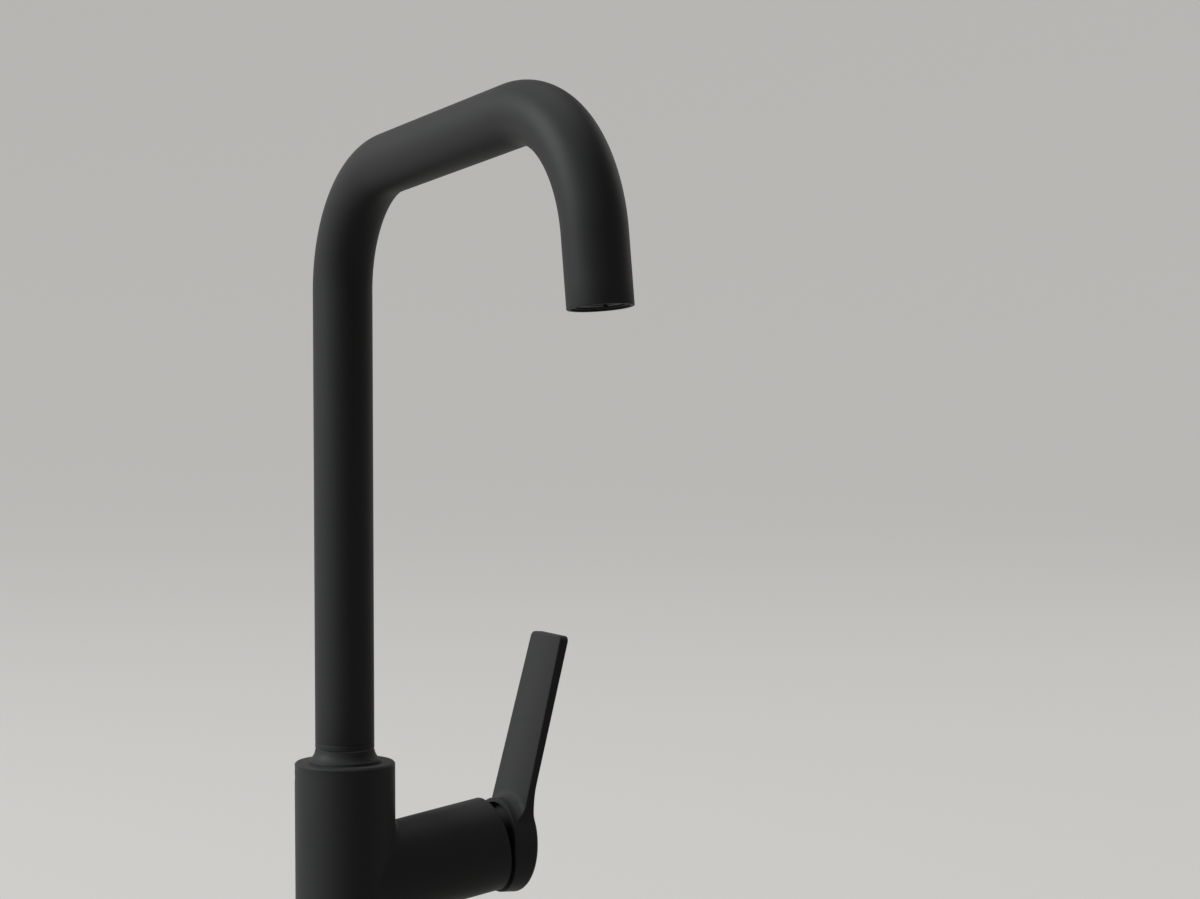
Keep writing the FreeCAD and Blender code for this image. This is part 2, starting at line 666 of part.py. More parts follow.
def swivel_pieces():
    bore = s.foot_radius + s.running_gap
    turned("swivel_collar", [
        (bore, s.body_height - s.collar_spigot_length),
        (s.collar_spigot_radius, s.body_height - s.collar_spigot_length),
        (s.collar_spigot_radius, s.body_height), (s.collar_radius, s.body_height),
        (s.collar_radius, s.body_height + s.collar_edge, s.collar_flare),
        (s.tube_radius + s.face_gap, s.body_height + s.collar_height),
        (bore, s.body_height + s.collar_height)])
    glide_foot = s.body_height + s.collar_height + s.face_gap
    turned("upper_glide_ring", [
        (s.foot_radius + s.slide_gap, glide_foot), (s.tube_radius - s.glide_recess, glide_foot),
        (s.tube_radius - s.glide_recess, glide_foot + s.glide_thickness),
        (s.foot_radius + s.slide_gap, glide_foot + s.glide_thickness)])

    def groove_at(level, depth, height):
        """Four points of a groove round the foot, from its lower edge up."""
        floor = s.foot_radius - depth
        top = level + height
        return [(s.foot_radius, level), (floor, level), (floor, top), (s.foot_radius, top)]

    seal_levels = [foot_end + s.lower_ring_level + s.ring_pitch * number for number in range(SPOUT_SEALS)]
    profile = [(s.foot_bore, foot_end), (s.foot_radius, foot_end)]
    for level in seal_levels:
        profile += groove_at(level, s.ring_groove_depth, s.ring_groove_height)
    profile += groove_at(glide_level, s.glide_groove_depth, s.glide_groove_height)
    profile += groove_at(snap_level, s.snap_groove_depth, s.snap_groove_height)
    sleeve = s.tube_radius - s.tube_wall - s.face_gap
    profile += [
        (s.foot_radius, spout_base), (s.tube_radius, spout_base), (s.tube_radius, tube_base),
        (sleeve, tube_base), (sleeve, tube_base + s.foot_sleeve), (s.foot_bore, tube_base + s.foot_sleeve)]
    foot = turned("spout_foot", profile)

    # The slot runs round the back of the foot, as far as the swivel takes the screw's point.
    slot = new_sketch(foot, "YZ_Plane", "StopSlot")
    low = stop_level - s.stop_slot_height / 2
    high = stop_level + s.stop_slot_height / 2
    outside = s.foot_radius + CUT_PAST
    outline(slot, [(slot_floor, low), (outside, low), (outside, high), (slot_floor, high)])
    groove = foot.newObject("PartDesign::Groove", "Groove")
    groove.Profile = slot
    groove.ReferenceAxis = (slot, ["V_Axis"])
    groove.Midplane = True
    half_slot = s.swivel_half_angle + arcsine(s.stop_point_radius / stop_tip) + s.stop_slot_spare_angle
    bind(groove, "Angle", half_slot * 2)
    changed(foot, groove, False)

    # A seal's section has eight flats, two of them pressed between the groove and the bore.
    flat = s.ring_groove_depth / 2
    centre = s.foot_radius - flat
    corners = around(flat / math.cos(math.pi / 8), 8, start=22.5)
    seals = []
    for number, level in enumerate(seal_levels):
        middle = level + s.ring_groove_height / 2
        section = [(centre + x, middle + y) for x, y in corners]
        seals.append(turned("Seal%d" % number, section, is_node=False))
    grouped("spout_o_rings", seals)

    def split_ring(label, inner, outer, level, height, turn):
        low = level + s.face_gap
        high = level + height - s.face_gap
        turned(label, [(inner, low), (outer, low), (outer, high), (inner, high)], angle=turn)

    split_ring("lower_glide_ring", s.foot_radius - s.glide_groove_depth, s.foot_radius + s.running_gap / 2,
               glide_level, s.glide_groove_height, s.glide_ring_angle)
    split_ring("snap_ring", s.foot_radius - s.snap_groove_depth + s.face_gap, s.snap_ring_radius,
               snap_level, s.snap_groove_height, s.snap_ring_angle)

    def at_the_back(thing):
        place(thing, (0, 0, stop_level), (1, 0, 0), -90)

    shoulder = s.foot_radius + s.stop_shoulder_gap
    outer_end = s.body_radius - s.stop_screw_sink
    socket_end = outer_end - s.key_socket_depth
    turned("swivel_stop_screw", [
        (0, stop_tip), (s.stop_point_radius, stop_tip), (s.stop_point_radius, shoulder),
        (s.stop_screw_radius, shoulder), (s.stop_screw_radius, outer_end),
        (s.key_socket_radius, outer_end), (s.key_socket_radius, socket_end), (0, socket_end)],
        where=at_the_back)


# Spout tube

def spout_tube():
    body = new_body("spout_tube")
    path = new_sketch(body, "YZ_Plane", "Path")
    rise, run = s.arm_rise, s.bend_radius
    lift = s.body_height + s.riser_top
    first = (as_size(0), lift)
    second = (run * (sine(rise) - 1), lift + run * cosine(rise))
    third = (second[0] - s.arm_length * cosine(rise), second[1] + s.arm_length * sine(rise))
    fourth = (third[0] - run * (cosine(rise) + sine(rise)),
              third[1] + run * (sine(rise) - cosine(rise)))
    fifth = (-outlet_reach, outlet_height)
    points = [(as_size(0), tube_base), first, second, third, fourth, fifth]
    ends = [FreeCAD.Vector(x.value, y.value, 0) for x, y in points]

    def bend(begin, end, centre):
        radius = run.value
        middle = ((begin + end) * 0.5 - centre).normalize() * radius + centre
        return sketch_arc(path, begin, middle, end, run)

    riser = path.addGeometry(Part.LineSegment(ends[0], ends[1]))
    first_bend = bend(ends[1], ends[2], ends[1] - FreeCAD.Vector(run.value, 0, 0))
    arm = path.addGeometry(Part.LineSegment(ends[2], ends[3]))
    square = FreeCAD.Vector(-math.sin(math.radians(rise.value)), -math.cos(math.radians(rise.value)), 0)
    second_bend = bend(ends[3], ends[4], ends[3] + square * run.value)
    outlet = path.addGeometry(Part.LineSegment(ends[4], ends[5]))
    path.addConstraint(Sketcher.Constraint("Coincident", riser, 2, *first_bend[:2]))
    path.addConstraint(Sketcher.Constraint("Coincident", first_bend[0], first_bend[2], arm, 1))
    path.addConstraint(Sketcher.Constraint("Coincident", arm, 2, *second_bend[:2]))
    path.addConstraint(Sketcher.Constraint("Coincident", second_bend[0], second_bend[2], outlet, 1))
    for curve, end, place_of in ((riser, 1, points[0]), (riser, 2, first), (arm, 1, second),
                                 (arm, 2, third), (outlet, 1, fourth), (outlet, 2, fifth)):
        pin_point(path, curve, end, place_of)

    mouth = new_sketch(body, "XY_Plane", "Section", level=tube_base)
    ring(mouth, s.tube_radius)
    ring(mouth, s.tube_radius - s.tube_wall)
    pipe = body.newObject("PartDesign::AdditivePipe", "Pipe")
    pipe.Profile = mouth
    pipe.Spine = path
    return changed(body, pipe, True)


def sketch_arc(sketch, begin, middle, end, radius):
    """An arc with its radius bound, given as its number and its start and end points' numbers."""
    curve = sketch.addGeometry(Part.Arc(begin, middle, end))
    index = sketch.addConstraint(Sketcher.Constraint("Radius", curve, radius.value))
    sketch.setExpression("Constraints[%d]" % index, radius.text)
    forward = sketch.getPoint(curve, 1).distanceToPoint(begin) < 1e-6
    return (curve, 1, 2) if forward else (curve, 2, 1)


# Outlet pieces

def outlet_pieces():
    sleeve = s.tube_radius - s.tube_wall - s.face_gap
    insert_end = s.insert_recess + s.insert_length
    lip = insert_end - s.insert_lip
    housing_radius = s.insert_thread_radius - s.thread_gap
    core_radius = housing_radius - s.aerator_wall - s.face_gap
    aerator_end = s.aerator_recess + s.aerator_length
    turned("outlet_insert", [
        (s.insert_thread_radius, s.insert_recess), (sleeve, s.insert_recess), (sleeve, insert_end),
        (core_radius, insert_end), (core_radius, lip), (s.insert_thread_radius, lip)], place_at_outlet)
    turned("aerator_housing", [
        (core_radius + s.face_gap, s.aerator_recess), (housing_radius, s.aerator_recess),
        (housing_radius, aerator_end), (core_radius + s.face_gap, aerator_end)], place_at_outlet)
    turned("aerator_seal", [
        (core_radius + s.face_gap, aerator_end), (housing_radius - s.face_gap, aerator_end),
        (housing_radius - s.face_gap, lip), (core_radius + s.face_gap, lip)], place_at_outlet)
    core_foot = s.aerator_recess + s.core_recess
    core_top = core_foot + s.core_length
    core = turned("aerator_core", [
        (0, core_foot), (core_radius, core_foot), (core_radius, core_top), (0, core_top)],
        place_at_outlet)
    holes = new_sketch(core, "XY_Plane", "Holes", level=core_foot)
    ring(holes, s.core_hole)
    for centre in around(s.core_hole_circle, OUTER_CORE_HOLES):
        ring(holes, s.core_hole, centre)
    pocket(core, holes, reverse=True)
    turned("flow_regulator", [
        (s.regulator_hole, core_top), (core_radius, core_top), (core_radius, core_top + s.regulator_height),
        (s.regulator_hole, core_top + s.regulator_height)], place_at_outlet)


# Valve cartridge, in distances from the column's axis along the valve's axis

base_foot = valve_floor + s.seal_proud
base_top = base_foot + s.cartridge_base_height
spigot_top = base_top + s.cartridge_base_spigot
fixed_top = spigot_top + s.disc_height
moving_foot = fixed_top + s.face_gap
moving_top = moving_foot + s.moving_disc_height
carrier_top = moving_top + s.carrier_height
rotor_foot = moving_top + s.rotor_lift
flange_foot = carrier_top + s.face_gap
flange_top = flange_foot + s.rotor_flange
shoulder = base_foot + s.cartridge_length
neck_top = shoulder + s.neck_length
housing_inner = s.cartridge_radius - s.cartridge_wall
ball_offset = s.spindle_arm * sine(s.hub_tilt)


def port_places():
    """The two inlets and the mixed port in the valve's frame."""
    return [(s.inlet_drop, -s.inlet_spread), (s.inlet_drop, s.inlet_spread), (-s.outlet_rise, 0)]


def cartridge_pieces():
    roof_foot = shoulder - s.cartridge_roof
    neck_bore = s.rotor_radius + s.running_gap
    turned("cartridge_housing", [
        (housing_inner, base_top), (s.cartridge_radius, base_top), (s.cartridge_radius, shoulder),
        (s.neck_radius, shoulder), (s.neck_radius, neck_top), (neck_bore, neck_top),
        (neck_bore, roof_foot), (housing_inner, roof_foot)], place_on_valve)

    base = turned("cartridge_base", [
        (0, base_foot), (s.cartridge_radius, base_foot), (s.cartridge_radius, base_top),
        (housing_inner - s.face_gap, base_top), (housing_inner - s.face_gap, spigot_top),
        (0, spigot_top)], place_on_valve)
    seats = new_sketch(base, "XY_Plane", "SealSeats", level=base_foot)
    ports = new_sketch(base, "XY_Plane", "Ports", level=base_foot)
    for centre in port_places():
        ring(seats, s.mixed_radius + s.seal_section + s.face_gap, centre)
        ring(ports, s.channel_radius, centre)
    seat_depth = s.seal_height - s.seal_proud + s.face_gap
    pocket(base, seats, seat_depth, reverse=True)
    pocket(base, ports, reverse=True)

    seals = []
    for number, centre in enumerate(port_places()):
        outer = doc.addObject("Part::Cylinder", "SealOuter%d" % number)
        inner = doc.addObject("Part::Cylinder", "SealInner%d" % number)
        bind(outer, "Radius", s.mixed_radius + s.seal_section)
        bind(inner, "Radius", s.mixed_radius)
        for thing in (outer, inner):
            bind(thing, "Height", s.seal_height)
            place(thing, (centre[0], centre[1], valve_floor))
        seal = doc.addObject("Part::Cut", "PortSeal%d" % number)
        seal.Base = outer
        seal.Tool = inner
        seals.append(seal)
    place_on_valve(grouped("port_seals", seals))

    fixed = turned("fixed_disc", [
        (0, spigot_top), (housing_inner - s.face_gap, spigot_top),
        (housing_inner - s.face_gap, fixed_top), (0, fixed_top)], place_on_valve)
    ports = new_sketch(fixed, "XY_Plane", "Ports", level=spigot_top)
    for centre in port_places():
        ring(ports, s.channel_radius, centre)
    pocket(fixed, ports, reverse=True)

    nut_foot = shoulder
    nut_step = nut_foot + s.retaining_nut_height - s.retaining_nut_hexagon
    nut_bore = s.neck_radius + s.slide_gap
    nut = turned("retaining_nut", [
        (nut_bore, nut_foot), (s.nut_thread_radius - s.thread_gap, nut_foot),
        (s.nut_thread_radius - s.thread_gap, nut_step), (nut_bore, nut_step)], place_on_valve)
    crown = new_sketch(nut, "XY_Plane", "Crown", level=nut_step)
    hexagon(crown, s.retaining_nut_flats)
    ring(crown, nut_bore)
    pad(nut, crown, s.retaining_nut_hexagon)

    dome_foot = nut_foot + s.retaining_nut_height
    dome_top = dome_foot + s.dome_height
    dome_inner = s.limit_ring_radius + s.slide_gap * 2
    turned("valve_dome", [
        (s.nut_thread_radius - s.slide_gap, dome_foot),
        (s.nut_thread_radius - s.slide_gap, dome_foot + s.dome_wall, s.dome_arc),
        (dome_inner, dome_top), (dome_inner, dome_foot)], place_on_valve)


def rotor_pieces():
    flange_radius = housing_inner - s.running_gap
    rotor_top = neck_top + s.rotor_end
    rotor = turned("stem_rotor", [
        (0, rotor_foot), (flange_radius, rotor_foot), (flange_radius, flange_top),
        (s.rotor_radius, flange_top), (s.rotor_radius, rotor_top), (0, rotor_top)], place_on_valve)
    cheeks = new_sketch(rotor, "XY_Plane", "Cheeks", level=rotor_foot)
    block(cheeks, s.cartridge_radius, s.carrier_radius + s.slide_gap)
    pocket(rotor, cheeks, flange_foot - rotor_foot, reverse=True)
    slot = new_sketch(rotor, "XY_Plane", "SpindleSlot", level=rotor_foot)
    block(slot, ball_offset + s.spindle_ball_radius + s.rotor_slot_spare, s.spindle_width / 2 + s.slide_gap)
    pocket(rotor, slot, reverse=True)
    hole = new_sketch(rotor, "XZ_Plane", "PinHole")
    ring(hole, s.pivot_pin_radius + s.face_gap, (0, pivot_at))
    pocket(rotor, hole, (s.rotor_radius + CUT_PAST) * 2, middle=True)
    pin_reach = s.rotor_radius - s.pin_recess

    def across_pivot(thing):
        x, _, z = boss_point(pivot_at)
        place(thing, (x, pin_reach, z), (1, 0, 0), 90)

    turned("pivot_pin", [
        (0, 0), (s.pivot_pin_radius, 0), (s.pivot_pin_radius, pin_reach * 2), (0, pin_reach * 2)],
        across_pivot)

    limit = turned("temperature_limit_ring", [
        (s.rotor_radius + s.face_gap, neck_top + s.face_gap), (s.limit_ring_radius, neck_top + s.face_gap),
        (s.limit_ring_radius, neck_top + s.limit_ring_height),
        (s.rotor_radius + s.face_gap, neck_top + s.limit_ring_height)], place_on_valve)
    notch = new_sketch(limit, "XY_Plane", "Notch", level=neck_top)
    block(notch, s.limit_notch_depth, s.limit_notch_width / 2, (s.limit_ring_radius, 0))
    cut = pocket(limit, notch, reverse=True)
    pattern = limit.newObject("PartDesign::PolarPattern", "Notches")
    pattern.Originals = [cut]
    pattern.Axis = (notch, ["N_Axis"])
    pattern.Angle = 360
    bind(pattern, "Occurrences", s.limit_notches)
    limit.Tip = pattern


def slide_pieces():
    def on_slide(thing):
        x, _, z = boss_point(0)
        place(thing, (x - sine(s.boss_rise) * ball_offset, 0, z + cosine(s.boss_rise) * ball_offset),
              (0, 1, 0), 90 - s.boss_rise)

    disc = turned("moving_disc", [
        (0, moving_foot), (s.moving_disc_radius, moving_foot), (s.moving_disc_radius, moving_top),
        (0, moving_top)], on_slide)
    hollow = new_sketch(disc, "XY_Plane", "MixingHollow", level=moving_foot)
    ring(hollow, s.mixing_radius)
    pocket(disc, hollow, s.mixing_depth, reverse=True)
    carrier = turned("disc_carrier", [
        (0, moving_top), (s.carrier_radius, moving_top), (s.carrier_radius, carrier_top),
        (0, carrier_top)], on_slide)
    socket = new_sketch(carrier, "XY_Plane", "BallSocket", level=carrier_top)
    reach = s.spindle_ball_radius + s.slide_gap * 2
    block(socket, reach, reach)
    pocket(carrier, socket, s.carrier_height - s.carrier_floor)


# Lever

hub_back = s.pivot_depth
hub_face = hub_back + s.hub_thickness
hub_floor = hub_back + s.hub_hollow
screw_level = hub_back + s.set_screw_depth
plug_foot = s.hub_radius - s.plug_recess - s.plug_length


def lever_spindle():
    body = new_body("lever_spindle")
    half = s.spindle_width / 2
    square = new_sketch(body, "XY_Plane", "Square", level=-half)
    block(square, half, half)
    pad(body, square, s.spindle_length + half)
    arm = new_sketch(body, "XZ_Plane", "Arm")
    ball, waist = s.spindle_ball_radius, s.spindle_arm_radius
    neck = square_root(ball * ball - waist * waist) - s.spindle_arm
    outline(arm, [
        (0, -(s.spindle_arm + ball), -ball), (waist, neck), (waist, -half), (0, -half)])
    revolve(body, arm)
    hole = new_sketch(body, "XZ_Plane", "PinHole")
    ring(hole, s.pivot_pin_radius + s.running_gap)
    pocket(body, hole, s.spindle_width * 2, middle=True)
    place_on_lever(body)


def lever_outlines():
    """Side views in (-height, distance out) points: the paddle's blank, which runs into the hub as
    far as the spindle's socket, and what is then cut off the outer side of both."""
    slope = tangent(s.paddle_lean)
    run = s.paddle_reach - s.hub_radius
    root_deep = s.paddle_root_thickness / cosine(s.paddle_lean)
    tip_deep = s.paddle_tip_thickness / cosine(s.paddle_lean)
    outer_slope = slope + (tip_deep - root_deep) / run

    def inner_face(up):
        return s.paddle_offset + slope * (up - s.hub_radius)

    def outer_face(up):
        return s.paddle_offset + root_deep + outer_slope * (up - s.hub_radius)

    # From the tip the outer face runs straight down, then through the neck's hollow and its
    # shoulder to the hub's face. Both are arcs that meet their neighbours without a corner.
    steepness = square_root(outer_slope * outer_slope + 1)
    neck_floor = hub_face - s.neck_sink
    hollow_top = neck_floor + s.neck_hollow * (1 - 1 / steepness)
    hollow_end = s.hub_radius + (hollow_top - outer_face(s.hub_radius)) / outer_slope
    lowest = hollow_end - s.neck_hollow * outer_slope / steepness
    level_part = 1 - s.neck_sink / (s.neck_hollow + s.neck_shoulder)
    down_part = square_root(1 - level_part * level_part)
    shoulder_end = lowest - (s.neck_hollow + s.neck_shoulder) * down_part
    beyond = s.paddle_reach + CUT_PAST
    above = outer_face(beyond) + CUT_PAST
    root = s.hub_radius - s.paddle_root_depth
    blank = [
        (-s.paddle_reach, inner_face(s.paddle_reach)), (-root, inner_face(root)),
        (-s.hub_socket_radius, hub_face), (-lowest, hub_face), (-s.paddle_reach, above)]
    cut = [
        (-shoulder_end, hub_face, s.neck_shoulder),
        (s.neck_hollow * down_part - lowest, neck_floor + s.neck_hollow * (1 - level_part), -s.neck_hollow),
        (-hollow_end, hollow_top), (-beyond, outer_face(beyond)), (-beyond, above), (-shoulder_end, above)]
    return blank, cut


def lever_handle():
    body = new_body("lever_handle")
    blank, cut = lever_outlines()
    side = new_sketch(body, "XZ_Plane", "PaddleSide")
    outline(side, blank)
    # Its sides taper along straight lines, which are widest level with the pivot.
    taper = (s.paddle_root_width - s.paddle_tip_width) / (s.paddle_reach - s.hub_radius) / 2
    widest = s.paddle_root_width / 2 + taper * s.hub_radius
    pad(body, side, widest * 2, middle=True)
    beyond = s.paddle_reach + CUT_PAST
    sides = new_sketch(body, "XY_Plane", "PaddleSides")
    for hand in (1, -1):
        corners = [(0, widest * hand), (0, (widest + CUT_PAST) * hand),
                   (-beyond, (widest + CUT_PAST) * hand), (-beyond, (widest - taper * beyond) * hand)]
        outline(sides, corners[::hand])
    pocket(body, sides, reverse=True)

    hub = new_sketch(body, "XZ_Plane", "Hub")
    skirt = s.hub_radius - s.hub_skirt
    collar_foot = hub_floor - s.hub_socket_collar
    outline(hub, [
        (0, collar_foot), (s.hub_socket_radius, collar_foot), (s.hub_socket_radius, hub_floor),
        (skirt, hub_floor), (skirt, hub_back), (s.hub_radius, hub_back),
        (s.hub_radius, hub_face - s.hub_rounding, -s.hub_rounding),
        (s.hub_radius - s.hub_rounding, hub_face), (0, hub_face)])
    revolve(body, hub)
    neck = new_sketch(body, "XZ_Plane", "Neck")
    outline(neck, cut)
    shaped = pocket(body, neck, s.hub_radius * 2 + CUT_PAST, middle=True)

    reach = s.paddle_reach.value
    hub_radius = s.hub_radius.value
    lean = math.tan(math.radians(s.paddle_lean.value))

    def at_tip_corner(edge, middle):
        starts, ends = edge.Vertexes[0].Point, edge.Vertexes[-1].Point
        at_tip = abs(starts.x + reach) < NEAR and abs(ends.x + reach) < NEAR
        return at_tip and abs(starts.y - ends.y) < NEAR

    corners = round_edges(body, shaped, at_tip_corner, s.paddle_corner)

    def at_inner_root(edge, middle):
        on_rim = abs(math.hypot(middle.x, middle.y) - hub_radius) < NEAR
        face = s.paddle_offset.value - lean * (middle.x + hub_radius)
        return on_rim and middle.x < 0 and abs(middle.y) < NEAR and abs(middle.z - face) < NEAR

    round_edges(body, corners, at_inner_root, s.paddle_root_fillet)

    # The relief lets the hub's lower half swing towards the boss as the lever opens.
    relief = new_sketch(body, "XZ_Plane", "Relief")
    drop = s.hub_radius + CUT_PAST
    behind = hub_back - CUT_PAST
    outline(relief, [(0, behind), (drop, behind), (drop, hub_back + tangent(s.hub_relief_angle) * drop),
                     (0, hub_back)])
    pocket(body, relief, drop * 2, middle=True)

    socket = new_sketch(body, "XY_Plane", "SpindleSocket", level=collar_foot)
    half = s.spindle_width / 2 + s.face_gap
    block(socket, half, half)
    pocket(body, socket, s.spindle_length - collar_foot + s.spindle_end_gap, reverse=True)
    screw = new_sketch(body, "YZ_Plane", "SetScrewHole")
    ring(screw, s.set_screw_radius + s.thread_gap, (0, screw_level))
    pocket(body, screw, reverse=True)
    plug = new_sketch(body, "YZ_Plane", "PlugSeat", level=plug_foot)
    ring(plug, s.plug_radius + s.face_gap, (0, screw_level))
    pocket(body, plug, reverse=True)
    place_on_lever(body)


def lever_screw_pieces():
    def round_piece(label, begin, length, radius):
        body = new_body(label)
        section = new_sketch(body, "YZ_Plane", "Section", level=begin)
        ring(section, radius, (0, screw_level))
        pad(body, section, length)
        place_on_lever(body)
        return body

    screw_foot = s.spindle_width / 2 + s.face_gap
    screw = round_piece("handle_set_screw", screw_foot, s.set_screw_length, s.set_screw_radius)
    key_socket = new_sketch(screw, "YZ_Plane", "KeySocket", level=screw_foot + s.set_screw_length)
    ring(key_socket, s.key_socket_radius, (0, screw_level))
    pocket(screw, key_socket, s.key_socket_depth)
    round_piece("index_plug", plug_foot, s.plug_length, s.plug_radius)


body_casting()
base_pieces()
swivel_pieces()
spout_tube()
outlet_pieces()
cartridge_pieces()
rotor_pieces()
slide_pieces()
lever_spindle()
lever_handle()
lever_screw_pieces()
doc.recompute()

for thing in doc.Objects:
    if "Invalid" in thing.State or "Error" in thing.State:
        raise RuntimeError("%s is %s" % (thing.Name, thing.State))
os.makedirs("parts", exist_ok=True)
for node in nodes:
    shape = node.Shape
    if shape.isNull() or not shape.isValid():
        raise RuntimeError("%s has no valid shape" % node.Label)
    shape.exportStep("parts/%s.step" % node.Label)
print("%d nodes, %d solids" % (len(nodes), sum(len(node.Shape.Solids) for node in nodes)))
print("outlet %.1f mm out and %.1f mm up" % (outlet_reach.value, outlet_height.value))
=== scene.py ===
import json
import math

import bpy
from mathutils import Matrix, Vector


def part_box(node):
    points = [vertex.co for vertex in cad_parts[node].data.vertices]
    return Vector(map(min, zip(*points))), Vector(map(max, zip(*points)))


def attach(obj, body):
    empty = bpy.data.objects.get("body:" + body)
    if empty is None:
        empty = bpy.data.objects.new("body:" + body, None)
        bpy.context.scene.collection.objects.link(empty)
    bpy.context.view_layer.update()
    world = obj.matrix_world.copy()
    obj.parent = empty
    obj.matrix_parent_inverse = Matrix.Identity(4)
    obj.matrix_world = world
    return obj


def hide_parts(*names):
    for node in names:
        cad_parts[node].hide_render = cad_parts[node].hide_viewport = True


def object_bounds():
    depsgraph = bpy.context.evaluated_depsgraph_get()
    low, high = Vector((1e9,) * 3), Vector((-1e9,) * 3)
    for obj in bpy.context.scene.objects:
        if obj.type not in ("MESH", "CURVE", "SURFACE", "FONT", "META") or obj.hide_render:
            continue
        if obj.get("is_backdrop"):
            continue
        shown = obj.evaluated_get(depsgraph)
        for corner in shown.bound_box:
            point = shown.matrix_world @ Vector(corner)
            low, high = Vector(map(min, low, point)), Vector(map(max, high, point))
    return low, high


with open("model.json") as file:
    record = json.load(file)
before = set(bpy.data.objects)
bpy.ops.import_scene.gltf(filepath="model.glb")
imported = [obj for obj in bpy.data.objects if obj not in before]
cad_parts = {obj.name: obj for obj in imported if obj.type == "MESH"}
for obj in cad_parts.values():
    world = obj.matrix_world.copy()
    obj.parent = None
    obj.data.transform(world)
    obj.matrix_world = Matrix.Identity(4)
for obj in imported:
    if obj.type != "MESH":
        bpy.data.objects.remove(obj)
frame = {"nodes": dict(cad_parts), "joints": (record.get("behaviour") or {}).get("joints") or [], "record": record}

bl_info = {
    "name": "Kitchen tap",
    "version": (1, 0, 0),
    "blender": (4, 5, 0),
    "location": "3D View > Sidebar > Tap",
    "description": "Dresses a kitchen tap with a side lever and a tall squared spout",
    "category": "Add Mesh",
}

# Metres, +Z up. The spout points to -Y and the valve boss to +X, as in the frame.

MM = 0.001
# Gap that the solids leave between two pieces that fit together.
FIT = 0.05 * MM
# How far a cutter runs past what it cuts.
PAST = 1 * MM
NODES = frame["nodes"]
JOINTS = {joint["name"]: joint for joint in frame["joints"]}

# Local z runs out along the boss from the column's axis, and local x points down.
VALVE_AXIS = Vector(JOINTS["lever_temperature"]["axis"]).normalized()
PIVOT = Vector(JOINTS["lever_flow"]["pos_m"])
VALVE_ROOT = PIVOT - VALVE_AXIS * (PIVOT.x / VALVE_AXIS.x)
HUB_TILT = math.radians(12.5)
BOSS_RISE = math.asin(VALVE_AXIS.z)


def facing_out(point, rise):
    """A frame at a point, with z towards +X and up by an angle, x down and y as the tap's."""
    return Matrix.Translation(point) @ Matrix.Rotation(math.pi / 2 - rise, 4, "Y")


VALVE_FRAME = facing_out(VALVE_ROOT, BOSS_RISE)
LEVER_FRAME = facing_out(PIVOT, BOSS_RISE - HUB_TILT)


def low(node):
    """Lowest corner of a node's box."""
    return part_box(node)[0]


def high(node):
    """Highest corner of a node's box."""
    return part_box(node)[1]


def half_width(node):
    """Radius of a round node that stands upright."""
    return (high(node).x - low(node).x) / 2


def stop_level():
    """Height of the screw that stops the spout's swing."""
    return (low("swivel_stop_screw").z + high("swivel_stop_screw").z) / 2


def length(title, default, meaning):
    """A size in metres that a user may change."""
    return bpy.props.FloatProperty(name=title, description=meaning, default=default, min=0.0,
                                   precision=5, unit="LENGTH", subtype="DISTANCE")


def angle(title, degrees, meaning):
    """An angle that a user may change, from its default in degrees."""
    return bpy.props.FloatProperty(name=title, description=meaning, default=math.radians(degrees),
                                   subtype="ANGLE")


def colour(title, value, meaning):
    """A colour that a user may change."""
    return bpy.props.FloatVectorProperty(name=title, description=meaning, default=value, size=3,
                                         min=0.0, max=1.0, subtype="COLOR")


def count(title, default, meaning):
    """A whole number that a user may change."""
    return bpy.props.IntProperty(name=title, description=meaning, default=default, min=3)


class TapSpoutSizes(bpy.types.PropertyGroup):
    tube_radius: length("Tube radius", 14 * MM, "Outer radius of the spout's tube")
    tube_wall: length("Tube wall", 1.7 * MM, "Wall of the tube")
    riser_top: length("Riser", 344.6 * MM, "Height where the first bend starts")
    bend_radius: length("Bend radius", 60 * MM, "Radius of both bends on the tube's axis")
    arm_rise: angle("Arm rise", 8.6, "Slope of the arm above level")
    arm_length: length("Arm", 118 * MM, "Straight run of the arm")
    outlet_length: length("Outlet", 30.5 * MM, "Straight run at the outlet")
    rim_rounding: length("Rim rounding", 0.35 * MM, "Rounding of the tube's two rims")
    seam_lift: length("Seam lift", 1.5 * MM, "Height of the flange's upper seam above the solid's")
    foot_radius: length("Foot radius", 11.5 * MM, "Radius of the spout's foot in its socket")
    foot_bore: length("Foot bore", 8 * MM, "Bore of the spout's foot")
    core_radius: length("Aerator core", 8.1 * MM, "Radius of the aerator's core")
    core_cells: count("Aerator cells", 5, "Cells across the aerator's grid, on each side of its middle")


class TapBodySizes(bpy.types.PropertyGroup):
    column_radius: length("Column radius", 23.8 * MM, "Radius of the column")
    column_height: length("Column height", 122 * MM, "Height of the column's flat top")
    rim_chamfer: length("Rim chamfer", 0.8 * MM, "Chamfer round the column's top and the boss's end")
    boss_radius: length("Boss radius", 22.9 * MM, "Radius of the valve boss")
    boss_length: length("Boss length", 78.4 * MM, "Column's axis to the boss's end")
    boss_fillet: length("Boss fillet", 3 * MM, "Fillet between the boss and the column")
    collar_radius: length("Collar radius", 17.2 * MM, "Radius of the collar's foot")
    collar_edge: length("Collar edge", 0.9 * MM, "Upright edge at the collar's foot")
    collar_flare: length("Collar flare", 7 * MM, "Radius of the collar's hollow flare")
    shank_wall: length("Shank wall", 3 * MM, "Wall of the threaded shank")
    shank_pitch: length("Shank pitch", 1.5 * MM, "Pitch of the shank's thread")
    screw_pitch: length("Screw pitch", 0.8 * MM, "Pitch of the jack screws' threads")


